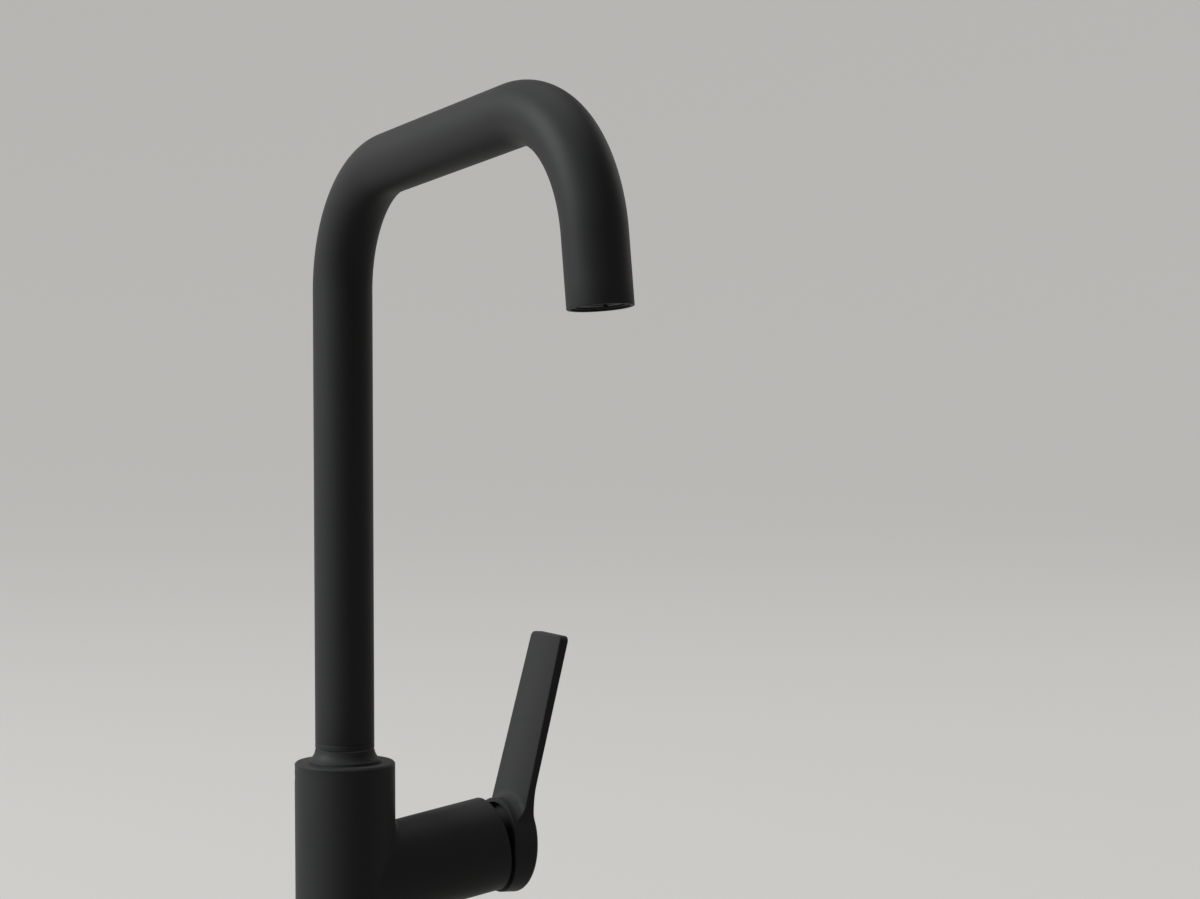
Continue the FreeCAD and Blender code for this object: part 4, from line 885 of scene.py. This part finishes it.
class TAP_OT_casting(bpy.types.Operator):
    """Draws the column and its boss in one skin with the fillet between them, and bores it"""
    bl_idname = "tap.casting"
    bl_label = "Body casting"

    def execute(self, context):
        sizes = context.scene.tap_body
        across, fillet_steps, column_steps = 360, 8, 9
        # Rows before the fillet: the middle of the boss's end, its chamfer's two edges, its foot.
        boss_rows = 4
        chamfer, radius, end = sizes.rim_chamfer, sizes.boss_radius, sizes.boss_length
        top_edge = sizes.column_height - chamfer
        foot = low("body_casting").z

        def on_boss(turn, distance, out):
            return VALVE_FRAME @ Vector((-distance * math.cos(turn), distance * math.sin(turn), out))

        def border(turn):
            """Angle and height on the column's border. Turns near the boss's top lead to the
            column's top edge, those near its foot to the column's foot, and the rest to the seam
            at the column's back."""
            share = (turn / math.tau) % 1
            if share <= 1 / 6 or share >= 5 / 6:
                return ((share + 0.5) % 1 - 0.5) * 6 * math.pi, top_edge
            if 1 / 3 <= share <= 2 / 3:
                return (0.5 - share) * 6 * math.pi, foot
            side = share if share < 0.5 else 1 - share
            height = top_edge + (foot - top_edge) * (side - 1 / 6) * 6
            return math.pi * (1 if share < 0.5 else -1), height

        def surface(column, row):
            turn = math.tau * column / across
            if row == 0:
                return on_boss(turn, 0, end)
            if row == 1:
                return on_boss(turn, radius - chamfer, end)
            if row == 2:
                return on_boss(turn, radius, end - chamfer)
            ball, out = fillet_ball(sizes, turn)
            if row == 3:
                return on_boss(turn, radius, out)
            touch_boss = on_boss(turn, radius, out) - ball
            inward = Vector((-ball.x, -ball.y, 0)).normalized() * sizes.boss_fillet
            step = row + 1 - boss_rows
            if step <= fillet_steps:
                swing = touch_boss.angle(inward)
                share = step / fillet_steps
                first = math.sin((1 - share) * swing) / math.sin(swing)
                second = math.sin(share * swing) / math.sin(swing)
                return ball + touch_boss * first + inward * second
            touch = ball + inward
            angle_here = math.atan2(touch.y, touch.x)
            angle_there, height_there = border(turn)
            share = (step - fillet_steps) / (column_steps + 1)
            swing = angle_here + (angle_there - angle_here) * share
            height = touch.z + (height_there - touch.z) * share
            return Vector((sizes.column_radius * math.cos(swing),
                           sizes.column_radius * math.sin(swing), height))

        def on_top_edge(place):
            from_column = abs(math.hypot(place.x, place.y) - sizes.column_radius)
            return place.z > top_edge - NEAR and from_column < 2 * NEAR

        rows = boss_rows + fillet_steps + column_steps
        piece = skinned("body_casting_look", across, rows, surface)
        edit(piece)
        select_vertices(piece, on_top_edge)
        extrude_ring(chamfer, 1 - chamfer / sizes.column_radius, 0)
        self.close_ring()
        select_vertices(piece, lambda place: place.z < foot + NEAR)
        self.close_ring()
        close_shell(piece)
        self.bore(piece, sizes, foot)
        finish(piece, "matt_coating", "tap_body", "body_casting")
        return {"FINISHED"}

    def close_ring(self):
        """Closes the selected ring flat to its middle, in edit mode."""
        extrude_ring(0, 0, 0)
        bpy.ops.mesh.merge(type="CENTER")

    def bore(self, piece, sizes, foot):
        """The spout's socket, the valve's bore, the shank's thread and the stop screw's hole."""
        past = 2 * MM
        top = sizes.column_height + past
        way_radius, way_floor = 6.5 * MM, VALVE_ROOT.z + 7.5 * MM
        socket_radius, socket_floor = 11.58 * MM, 88.5 * MM
        collar_radius, collar_floor = 15.05 * MM, sizes.column_height - 13.45 * MM
        socket = turned("socket", [
            (0, way_floor), (way_radius, way_floor), (way_radius, socket_floor),
            (socket_radius, socket_floor), (socket_radius, collar_floor),
            (collar_radius, collar_floor), (collar_radius, top), (0, top)])
        shank_radius, shank_top = half_width("threaded_shank") + FIT, high("threaded_shank").z
        under = turned("under", [(0, foot - past), (shank_radius, foot - past),
                                 (shank_radius, shank_top), (0, shank_top)])
        seat_radius, seat_floor = 17.55 * MM, 36 * MM
        mouth_radius, mouth_floor = 19.2 * MM, 66 * MM
        mouth_end = sizes.boss_length + past
        mouth = turned("mouth", [
            (0, seat_floor), (seat_radius, seat_floor), (seat_radius, mouth_floor),
            (mouth_radius, mouth_floor), (mouth_radius, mouth_end), (0, mouth_end)])
        settle(mouth, VALVE_FRAME)
        stop = rod("stop_hole", 2.55 * MM, (0, 0, stop_level()),
                   (0, sizes.column_radius + past, stop_level()))
        inlet_radius, inlet_offset, inlet_depth = 4.5 * MM, 7.5 * MM, 12 * MM
        inlets = [rod("inlet", inlet_radius, (0, side * inlet_offset, shank_top - past),
                      (0, side * inlet_offset, shank_top + inlet_depth)) for side in (-1, 1)]
        cut(piece, socket, under, mouth, stop, *inlets)


class TAP_OT_collar(bpy.types.Operator):
    """Turns the flared collar at the top of the column, with its spigot"""
    bl_idname = "tap.collar"
    bl_label = "Swivel collar"

    def execute(self, context):
        sizes = context.scene.tap_body
        spout = context.scene.tap_spout
        spigot_foot, foot, top = low("swivel_collar").z, sizes.column_height, high("swivel_collar").z
        spigot, bore = 15 * MM, spout.foot_radius + 0.08 * MM
        # The flare is an arc of a known radius between the foot's edge and the neck.
        flare_steps = 14
        start = Vector((sizes.collar_radius, foot + sizes.collar_edge))
        neck = Vector((spout.tube_radius + FIT, top))
        chord = neck - start
        radius = sizes.collar_flare
        square = Vector((-chord.y, chord.x)).normalized()
        centre = (start + neck) / 2 - square * math.sqrt(radius ** 2 - (chord.length / 2) ** 2)
        first, last = [math.degrees(math.atan2(*(end - centre).yx)) for end in (start, neck)]
        flare = arc(centre, radius, first, (last - first + 180) % 360 - 180, flare_steps)
        below = rounded([
            (bore, spigot_foot, 0.3 * MM), (spigot, spigot_foot, 0.5 * MM), (spigot, foot),
            (sizes.collar_radius, foot, 0.15 * MM), (*flare[0], 0.12 * MM)])
        above = rounded([flare[-2], (*neck, 0.15 * MM), (bore, top, 0.2 * MM)], closed=False)
        piece = turned("swivel_collar_look", below + flare[1:-1] + above[1:] + [(bore, top - 0.3 * MM)])
        finish(piece, "matt_coating", "tap_body", "swivel_collar")
        return {"FINISHED"}


class TAP_OT_stop_screw(bpy.types.Operator):
    """Turns the pointed set screw at the back of the column, with its key socket"""
    bl_idname = "tap.stop_screw"
    bl_label = "Stop screw"

    def execute(self, context):
        tip, end = low("swivel_stop_screw").y, high("swivel_stop_screw").y
        radius, point, shoulder = 2.45 * MM, 1.5 * MM, 12.5 * MM
        piece = turned("swivel_stop_screw_look", rounded([
            (0, tip), (point, tip, 0.3 * MM), (point, shoulder), (radius, shoulder, 0.3 * MM),
            (radius, end, 0.35 * MM), (0, end)]), sides=48)
        key_flats, key_depth = 2.5 * MM, 2.5 * MM
        cut(piece, hexagon("key", key_flats, end - key_depth, end + PAST))
        settle(piece, Matrix.Translation((0, 0, stop_level())) @ Matrix.Rotation(-math.pi / 2, 4, "X"))
        finish(piece, "stainless_steel", "tap_body", "swivel_stop_screw")
        return {"FINISHED"}


class TAP_OT_dome(bpy.types.Operator):
    """Turns the trim dome that covers the valve's nut in the boss's mouth"""
    bl_idname = "tap.dome"
    bl_label = "Valve dome"

    def execute(self, context):
        # Heights along the boss, and the two radii between which the dome curves up.
        foot, edge, top = 76.4 * MM, 77.6 * MM, 79.6 * MM
        outer, inner = 19.05 * MM, 13.4 * MM
        steps = 10
        shares = [step / steps for step in range(steps + 1)]
        curve = [(outer + (inner - outer) * share, edge + (top - edge) * math.sin(share * math.pi / 2))
                 for share in shares]
        piece = turned("valve_dome_look", [(outer, foot)] + curve + [(inner, foot)])
        settle(piece, VALVE_FRAME)
        finish(piece, "matt_coating", "tap_body", "valve_dome")
        return {"FINISHED"}


# Bore of the rings that the shank runs through.
SHANK_HOLE = 16.7 * MM
JACK_SCREWS = 3
JACK_SCREW_CIRCLE = 20.6 * MM
JACK_SCREW_RADIUS = 2.5 * MM


def screw_places():
    """Places of the jack screws on their circle in the nut."""
    turns = [math.tau * number / JACK_SCREWS - math.pi / 2 for number in range(JACK_SCREWS)]
    return [(JACK_SCREW_CIRCLE * math.cos(turn), JACK_SCREW_CIRCLE * math.sin(turn)) for turn in turns]


class TAP_OT_base_ring(bpy.types.Operator):
    """Turns the ring under the column, with the groove for its seal"""
    bl_idname = "tap.base_ring"
    bl_label = "Base ring"

    def execute(self, context):
        outer, top = half_width("base_ring"), high("base_ring").z
        seal_inner, seal_outer, seal_depth = 22.3 * MM, 25.1 * MM, 1.6 * MM
        piece = turned("base_ring_look", rounded([
            (SHANK_HOLE, 0, 0.2 * MM), (seal_inner, 0), (seal_inner, seal_depth),
            (seal_outer, seal_depth), (seal_outer, 0), (outer, 0, 0.25 * MM), (outer, top, 1.1 * MM),
            (SHANK_HOLE, top)]))
        finish(piece, "matt_coating", "tap_body", "base_ring")
        return {"FINISHED"}


class TAP_OT_shank(bpy.types.Operator):
    """Makes the hollow threaded shank that runs through the worktop"""
    bl_idname = "tap.shank"
    bl_label = "Threaded shank"

    def execute(self, context):
        sizes = context.scene.tap_body
        foot, top = low("threaded_shank").z, high("threaded_shank").z
        radius = half_width("threaded_shank")
        thread_depth = sizes.shank_pitch * 0.6
        piece = threaded("threaded_shank_look", radius, thread_depth, sizes.shank_pitch, foot, top,
                         sides=96)
        bore = radius - sizes.shank_wall
        cut(piece, turned("bore", [(0, foot - PAST), (bore, foot - PAST), (bore, top + PAST),
                                   (0, top + PAST)]))
        finish(piece, "plain_brass", "tap_body", "threaded_shank", sharp=THREAD_SHARP)
        return {"FINISHED"}


class TAP_OT_deck_rings(bpy.types.Operator):
    """Turns the rubber gasket and the steel washer under the worktop"""
    bl_idname = "tap.deck_rings"
    bl_label = "Gasket and washer"

    def execute(self, context):
        for node, slot, rounding in (("deck_gasket", "black_rubber", 0.6 * MM),
                                     ("deck_washer", "stainless_steel", 0.25 * MM)):
            foot, top, outer = low(node).z, high(node).z, half_width(node)
            corners = ((SHANK_HOLE, foot), (outer, foot), (outer, top), (SHANK_HOLE, top))
            piece = turned(node + "_look", rounded([(*corner, rounding) for corner in corners]))
            finish(piece, slot, "tap_body", node)
        return {"FINISHED"}


class TAP_OT_mounting_nut(bpy.types.Operator):
    """Makes the wide brass nut with the holes for its jack screws"""
    bl_idname = "tap.mounting_nut"
    bl_label = "Mounting nut"

    def execute(self, context):
        foot, top = low("mounting_nut").z, high("mounting_nut").z
        flats, bore, screw_hole = 50 * MM, 16.55 * MM, JACK_SCREW_RADIUS + FIT
        piece = chamfered_nut("mounting_nut_look", flats, foot, top, chamfer=0.8 * MM)
        holes = [rod("hole", bore, (0, 0, foot - PAST), (0, 0, top + PAST), sides=96)]
        for x, y in screw_places():
            holes.append(rod("screw_hole", screw_hole, (x, y, foot - PAST), (x, y, top + PAST)))
        cut(piece, *holes)
        finish(piece, "plain_brass", "tap_body", "mounting_nut")
        return {"FINISHED"}


class TAP_OT_jack_screws(bpy.types.Operator):
    """Makes one threaded screw with its hexagon head and copies it to each place in the nut"""
    bl_idname = "tap.jack_screws"
    bl_label = "Jack screws"

    def execute(self, context):
        sizes = context.scene.tap_body
        foot, top = low("nut_jack_screws").z, high("nut_jack_screws").z
        head_height, flats, thread_depth = 3.5 * MM, 7.2 * MM, 0.45 * MM
        # The thread starts inside the head.
        thread_foot = foot + head_height * 0.8
        model = threaded("jack_screw", JACK_SCREW_RADIUS, thread_depth, sizes.screw_pitch,
                         thread_foot, top, sides=32)
        join(model, [chamfered_nut("head", flats, foot, foot + head_height, chamfer=0.3 * MM)])
        for number, (x, y) in enumerate(screw_places()):
            pick(model)
            bpy.ops.object.duplicate()
            screw = new_piece("jack_screw_%d_look" % number)
            settle(screw, Matrix.Translation((x, y, 0)))
            finish(screw, "stainless_steel", "tap_body", "nut_jack_screws",
                   sharp=THREAD_SHARP)
        bpy.data.objects.remove(model)
        return {"FINISHED"}


# Lever

class LeverShape:
    """Outline and faces of the lever in its own frame: x up from the pivot, y across, z out."""

    # Steps along the outline: the hub, the side's hollow, the side, the tip's corner, half the tip.
    HUB_STEPS, HOLLOW_STEPS, SIDE_STEPS, CORNER_STEPS, TIP_STEPS = 64, 10, 30, 8, 6
    # Above 1, it draws the side's places together towards the hub.
    CROWDING = 1.4

    def __init__(self, sizes):
        self.sizes = sizes
        run = sizes.reach - sizes.hub_radius
        self.taper = (sizes.root_width - sizes.tip_width) / 2 / run
        self.inner_slope = math.tan(sizes.lean)
        self.root_depth = sizes.root_thickness / math.cos(sizes.lean)
        tip_depth = sizes.tip_thickness / math.cos(sizes.lean)
        self.outer_slope = self.inner_slope + (tip_depth - self.root_depth) / run
        # Down the outer face, a wide hollow arc and a shoulder's arc lead to the hub's face.
        steepness = math.hypot(1, self.outer_slope)
        self.neck_floor = sizes.hub_face - sizes.neck_sink
        hollow_top = self.neck_floor + sizes.neck_hollow * (1 - 1 / steepness)
        self.hollow_end = (hollow_top - self.outer_line(0)) / self.outer_slope
        self.lowest = self.hollow_end - sizes.neck_hollow * self.outer_slope / steepness
        both_arcs = sizes.neck_hollow + sizes.neck_shoulder
        down_part = math.sqrt(1 - (1 - sizes.neck_sink / both_arcs) ** 2)
        self.shoulder_end = self.lowest - both_arcs * down_part
        self.arcs_meet = self.lowest - sizes.neck_hollow * down_part

    def half_width(self, up):
        return self.sizes.root_width / 2 + self.taper * (self.sizes.hub_radius - up)

    def inner(self, up):
        return self.sizes.inner_offset + self.inner_slope * (up - self.sizes.hub_radius)

    def outer_line(self, up):
        sizes = self.sizes
        return sizes.inner_offset + self.root_depth + self.outer_slope * (up - sizes.hub_radius)

    def outer(self, up):
        """The outer face: flat on the hub, then the neck's two arcs, then straight to the tip."""
        sizes = self.sizes
        if up >= self.hollow_end:
            return self.outer_line(up)
        if up >= self.arcs_meet:
            sag = math.sqrt(sizes.neck_hollow ** 2 - (up - self.lowest) ** 2)
            return self.neck_floor + sizes.neck_hollow - sag
        if up >= self.shoulder_end:
            sag = math.sqrt(sizes.neck_shoulder ** 2 - (up - self.shoulder_end) ** 2)
            return sizes.hub_face - sizes.neck_shoulder + sag
        return sizes.hub_face

    def scoop_foot(self, away):
        """Height where the scoop leaves the hub's side, in a direction away from its axis."""
        slope = self.inner_slope * away.x
        plane = self.inner(away.x * self.sizes.hub_radius)
        return plane + self.sizes.scoop * (slope - math.hypot(1, slope))

    def outline(self):
        """Places round the lever seen along the hub's axis, each with its outward normal. They run
        from the hub's foot up one side, round the tip and back."""
        sizes = self.sizes
        radius, hollow, corner = sizes.hub_radius, sizes.side_hollow, sizes.corner
        square = Vector((self.taper, 1)).normalized()
        along = Vector((square.y, -square.x))
        square_turn = math.atan2(square.y, square.x)
        # The hollow's circle touches the hub's circle and the paddle's side from outside.
        offset = self.half_width(0) * square.y + hollow
        centre = square * offset + along * math.sqrt((radius + hollow) ** 2 - offset ** 2)
        join_turn = math.atan2(centre.y, centre.x)
        side = []

        def add_arc(middle, reach, begin, end, steps, first=1):
            for step in range(first, steps + 1):
                turn = begin + (end - begin) * step / steps
                direction = Vector((math.cos(turn), math.sin(turn)))
                side.append((middle + direction * reach, direction))

        add_arc(Vector((0, 0)), radius, math.pi, join_turn, self.HUB_STEPS, first=0)
        add_arc(centre, -hollow, join_turn, square_turn, self.HOLLOW_STEPS)
        tip = Vector((sizes.reach, self.half_width(sizes.reach)))
        side_start = side[-1][0]
        side_stop = tip - along * corner * math.tan(square_turn / 2)
        for step in range(1, self.SIDE_STEPS + 1):
            share = (step / self.SIDE_STEPS) ** self.CROWDING
            side.append((side_start.lerp(side_stop, share), square))
        add_arc(side_stop - square * corner, corner, square_turn, 0, self.CORNER_STEPS)
        tip_start = side[-1][0]
        for step in range(1, self.TIP_STEPS + 1):
            share = step / self.TIP_STEPS
            side.append((tip_start.lerp(Vector((sizes.reach, 0)), share), Vector((1, 0))))
        other_side = [(Vector((place.x, -place.y)), Vector((normal.x, -normal.y)))
                      for place, normal in side[-2:0:-1]]
        return side + other_side


# Hub's back to the axis of its set screw.
SET_SCREW_LEVEL = 7.3 * MM


class TAP_OT_lever(bpy.types.Operator):
    """Draws the lever: its hub, the leaning paddle, and the scoop and neck between them"""
    bl_idname = "tap.lever"
    bl_label = "Lever"

    # Shares of the way over the paddle's inner face.
    INNER_ROWS = (0.03, 0.35, 0.7, 0.97, 1.0)
    SCOOP_STEPS, EDGE_STEPS, RIM_STEPS, NECK_STEPS = 12, 4, 6, 16

    def execute(self, context):
        sizes = context.scene.tap_lever
        shape = LeverShape(sizes)
        columns = [self.column(shape, place, normal) for place, normal in shape.outline()]
        total = len(columns)
        piece = skinned("lever_handle_look", total, len(columns[0]) - 1,
                        lambda column, row: LEVER_FRAME @ columns[column % total][row])
        self.hollow(piece, sizes)
        finish(piece, "matt_coating", "lever", "lever_handle")
        return {"FINISHED"}

    def column(self, shape, place, normal):
        """All points above and below one place of the outline, from the hub's back round the edge
        to the middle of its outer face."""
        points = []

        def add(flat, height):
            points.append(Vector((-flat.x, flat.y, height)))

        self.inner_side(shape, place, normal, add)
        self.outer_side(shape, place, normal, add)
        return points

    def inner_side(self, shape, place, normal, add):
        """The hub's back and side, then where the paddle reaches past the hub, the scoop, the
        paddle's inner face and its rounded edge."""
        sizes = shape.sizes
        radius, back, scoop = sizes.hub_radius, sizes.hub_back, sizes.scoop
        back_edge, side_level = 0.35 * MM, 1.5 * MM
        # The scoop is cut off by the paddle's side, and runs out where the side meets the hub.
        overhang = max(0, place.length - radius)
        stop = place - normal * sizes.edge * min(1, overhang / scoop)
        away = stop.normalized()
        add(Vector((0, 0)), back)
        add(away * (radius - back_edge), back)
        add(away * radius, back + back_edge)
        if overhang < MERGE:
            # The rows of the scoop and the paddle meet in one point of the hub's side.
            for _ in range(self.SCOOP_STEPS + 1 + len(self.INNER_ROWS) + self.EDGE_STEPS):
                add(place, back + side_level)
            return
        slope = shape.inner_slope * away.x
        foot = shape.scoop_foot(away)
        reach = stop.length - radius
        swing = math.pi / 2 - math.atan(slope)
        full_reach = scoop * (1 - math.cos(swing))
        cut_off = reach < full_reach
        if cut_off:
            swing = math.acos(1 - max(0, reach) / scoop)
            full_reach = reach
        for step in range(self.SCOOP_STEPS + 1):
            turn = swing * step / self.SCOOP_STEPS
            add(away * (radius + scoop * (1 - math.cos(turn))), foot + scoop * math.sin(turn))
        level = foot + scoop * math.sin(swing)
        for share in self.INNER_ROWS:
            further = (reach - full_reach) * share
            add(away * (radius + full_reach + further), level + slope * further)
        level += slope * (reach - full_reach)
        turn_left = swing if cut_off else math.pi / 2
        rounding = (place - stop).length / (1 - math.cos(turn_left))
        for step in range(1, self.EDGE_STEPS + 1):
            turn = turn_left * (1 - step / self.EDGE_STEPS)
            add(stop + normal * rounding * (math.cos(turn) - math.cos(turn_left)),
                level + rounding * (math.sin(turn_left) - math.sin(turn)))

    def outer_side(self, shape, place, normal, add):
        """The outer rim's rounding, large round the hub and small along the paddle, and the face."""
        sizes = shape.sizes
        # The rounding narrows smoothly between these two heights.
        wide_below, narrow_above = 2 * MM, 26 * MM
        share = min(1, max(0, (place.x - wide_below) / (narrow_above - wide_below)))
        smooth = share * share * (3 - 2 * share)
        rounding = sizes.hub_rounding + (sizes.edge - sizes.hub_rounding) * smooth
        stop = place - normal * rounding
        face = shape.outer(stop.x)
        for step in range(self.RIM_STEPS + 1):
            turn = math.pi / 2 * step / self.RIM_STEPS
            add(stop + normal * rounding * math.cos(turn), face - rounding * (1 - math.sin(turn)))
        # A row close inside the rim keeps the face flat, and rows across the neck follow its arcs.
        margin = 0.6 * MM
        rim = stop * (1 - margin / stop.length)
        add(rim, shape.outer(rim.x))
        above, below = shape.hollow_end + margin, shape.shoulder_end - margin
        for step in range(self.NECK_STEPS + 1):
            up = above + (below - above) * step / self.NECK_STEPS
            here = rim * min(1, up / rim.x) if rim.x > 0 else rim
            add(here, shape.outer(here.x))
        add(Vector((0, 0)), sizes.hub_face)

    def hollow(self, piece, sizes):
        """The hollow behind the hub, its relief below, the spindle's socket and the plug's seat."""
        back = sizes.hub_back
        behind, outside = back - 2 * MM, sizes.hub_radius + 2 * MM
        skirt, floor = sizes.hub_radius - 2 * MM, back + 4.5 * MM
        collar_radius, collar = 8 * MM, floor - 2.5 * MM
        dish = turned("dish", rounded([
            (0, behind), (skirt, behind), (skirt, floor, 0.8 * MM), (collar_radius, floor, 0.8 * MM),
            (collar_radius, collar, 0.3 * MM), (0, collar)]))
        # The relief starts a hair above the pivot, off the hub's own row of points.
        hair, relief_height, relief_slope = 0.001 * MM, 10 * MM, math.radians(10)
        relief = box_tool("relief", (-hair, -outside, -relief_height), (outside * 1.2, outside, 0))
        settle(relief, Matrix.Translation((0, 0, back)) @ Matrix.Rotation(-relief_slope, 4, "Y"))
        socket_half, socket_top = 4.05 * MM, 16.6 * MM
        socket = box_tool("socket", (-socket_half, -socket_half, behind),
                          (socket_half, socket_half, socket_top))
        level = back + SET_SCREW_LEVEL
        screw = rod("screw", 2.5 * MM, (0, 0, level), (outside, 0, level), sides=32)
        seat_radius, seat_floor = 2.95 * MM, 19.6 * MM
        seat = rod("seat", seat_radius, (seat_floor, 0, level), (outside, 0, level))
        tools = (dish, relief, socket, screw, seat)
        for tool in tools:
            settle(tool, LEVER_FRAME)
        cut(piece, *tools)


class TAP_OT_plug(bpy.types.Operator):
    """Turns the small plug over the set screw, with a slightly full face"""
    bl_idname = "tap.plug"
    bl_label = "Index plug"

    def execute(self, context):
        sizes = context.scene.tap_lever
        radius, height, side = 2.88 * MM, 3 * MM, 2.55 * MM
        face_radius, face_reach, face_steps = 20 * MM, 2.4 * MM, 5
        top = sizes.hub_radius - 0.3 * MM
        foot = top - height
        swing = math.degrees(math.asin(face_reach / face_radius))
        face = arc((0, top - face_radius), face_radius, 90 - swing, swing, face_steps)
        outline = [(0, foot), (radius, foot), (radius, foot + side)] + face[:-1] + [(0, top)]
        piece = turned("index_plug_look", outline, sides=48)
        level = sizes.hub_back + SET_SCREW_LEVEL
        where = Matrix.Translation((0, 0, level)) @ Matrix.Rotation(math.pi / 2, 4, "Y")
        settle(piece, LEVER_FRAME @ where)
        finish(piece, "matt_coating", "lever", "index_plug")
        return {"FINISHED"}


# Stage

class TAP_OT_stage(bpy.types.Operator):
    """Sets the pale floor that curves up all round, the soft lamps and the camera"""
    bl_idname = "tap.stage"
    bl_label = "Stage"

    def execute(self, context):
        self.floor()
        self.lamps()
        self.camera(context.scene)
        context.scene.view_settings.view_transform = "Standard"
        return {"FINISHED"}

    def floor(self):
        """A round floor a hair under the shank, which curves up into a wall all round."""
        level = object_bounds()[0].z - 0.2 * MM
        reach, bend, height = 5.0, 1.8, 3.4
        flat = reach - bend
        curve = arc((flat, level + bend), bend, start=-90, swing=90, steps=24)
        outline = [(0.05, level), (flat, level)] + curve[1:] + [(reach, level + height)]
        floor = ring("floor", 96, outline[0][0], level, fill="NGON")
        bpy.ops.mesh.select_mode(type="EDGE")
        bpy.ops.mesh.region_to_loop()
        for (radius, rise), (next_radius, next_rise) in zip(outline, outline[1:]):
            bpy.ops.mesh.extrude_edges_move(TRANSFORM_OT_translate={"value": (0, 0, next_rise - rise)})
            ratio = next_radius / radius
            bpy.ops.transform.resize(value=(ratio, ratio, 1), center_override=(0, 0, next_rise))
        bpy.ops.object.mode_set(mode="OBJECT")
        bpy.ops.object.shade_smooth()
        floor.data.materials.append(material("studio_floor"))
        floor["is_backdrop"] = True

    def lamps(self):
        """A dim world and four square lamps that face the tap."""
        world = bpy.data.worlds.new("studio")
        bpy.context.scene.world = world
        world.use_nodes = True
        background = world.node_tree.nodes["Background"]
        background.inputs["Color"].default_value = (0.84, 0.86, 0.90, 1)
        background.inputs["Strength"].default_value = 0.08
        aim = Vector((0.03, -0.06, 0.22))
        lamps = (("key", (-2.2, 0.9, 1.7), 1.5, 95, (0.97, 0.99, 1.0)),
                 ("top", (0.3, 0.6, 2.6), 1.8, 18, (1.0, 1.0, 1.0)),
                 ("fill", (-0.3, -2.6, 1.8), 1.6, 5, (0.98, 0.99, 1.0)),
                 ("rim", (2.4, 0.6, 1.3), 1.4, 8, (1.0, 0.99, 0.97)))
        for name, place, size, power, tint in lamps:
            pick_none()
            bpy.ops.object.light_add(type="AREA", location=place)
            lamp = bpy.context.object
            lamp.name = name
            lamp.data.shape = "SQUARE"
            lamp.data.size = size
            lamp.data.energy = power
            lamp.data.color = tint
            lamp.rotation_euler = (aim - Vector(place)).to_track_quat("-Z", "Y").to_euler()

    def camera(self, scene):
        """The camera at the photograph's viewing angle, with the lens that fits its frame."""
        place = Vector((-674.7, -1397.5, 367.6)) * MM
        heading, pitch = math.radians(30.24), math.radians(-3.6)
        picture_width, focal_pixels, sensor = 1200, 3289.5, 36
        pick_none()
        bpy.ops.object.camera_add(location=place, rotation=(math.pi / 2 + pitch, 0, -heading))
        camera = bpy.context.object
        camera.data.sensor_width = sensor
        camera.data.lens = sensor * focal_pixels / picture_width
        camera.data.clip_end = 100
        scene.camera = camera


class TAP_PT_panel(bpy.types.Panel):
    """Lists the tap's sizes and finishes, and a button for each piece"""
    bl_label = "Kitchen tap"
    bl_idname = "TAP_PT_panel"
    bl_space_type = "VIEW_3D"
    bl_region_type = "UI"
    bl_category = "Tap"

    def draw(self, context):
        layout = self.layout
        for group in ("tap_spout", "tap_body", "tap_lever", "tap_finishes"):
            values = getattr(context.scene, group)
            column = layout.column(align=True)
            for name in values.bl_rna.properties.keys():
                if name not in ("rna_type", "name"):
                    column.prop(values, name)
        for operator in OPERATORS:
            layout.operator(operator.bl_idname)


GROUPS = {"tap_spout": TapSpoutSizes, "tap_body": TapBodySizes, "tap_lever": TapLeverSizes,
          "tap_finishes": TapFinishes}
OPERATORS = (TAP_OT_finishes, TAP_OT_spout_tube, TAP_OT_spout_foot, TAP_OT_outlet_insert,
             TAP_OT_aerator_housing, TAP_OT_aerator_core, TAP_OT_casting, TAP_OT_collar,
             TAP_OT_stop_screw, TAP_OT_dome, TAP_OT_base_ring, TAP_OT_shank, TAP_OT_deck_rings,
             TAP_OT_mounting_nut, TAP_OT_jack_screws, TAP_OT_lever, TAP_OT_plug, TAP_OT_stage)


def register():
    for kind in (*GROUPS.values(), *OPERATORS, TAP_PT_panel):
        bpy.utils.register_class(kind)
    for name, kind in GROUPS.items():
        setattr(bpy.types.Scene, name, bpy.props.PointerProperty(type=kind))


def unregister():
    for name in GROUPS:
        delattr(bpy.types.Scene, name)
    for kind in (TAP_PT_panel, *OPERATORS, *GROUPS.values()):
        bpy.utils.unregister_class(kind)


def main():
    """Makes the whole tap and its stage."""
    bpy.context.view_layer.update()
    register()
    bpy.ops.tap.finishes()
    bpy.ops.tap.spout_tube()
    bpy.ops.tap.spout_foot()
    bpy.ops.tap.outlet_insert()
    bpy.ops.tap.aerator_housing()
    bpy.ops.tap.aerator_core()
    bpy.ops.tap.casting()
    bpy.ops.tap.collar()
    bpy.ops.tap.stop_screw()
    bpy.ops.tap.dome()
    bpy.ops.tap.base_ring()
    bpy.ops.tap.shank()
    bpy.ops.tap.deck_rings()
    bpy.ops.tap.mounting_nut()
    bpy.ops.tap.jack_screws()
    bpy.ops.tap.lever()
    bpy.ops.tap.plug()
    bpy.ops.tap.stage()


if __name__ == "__main__":
    main()
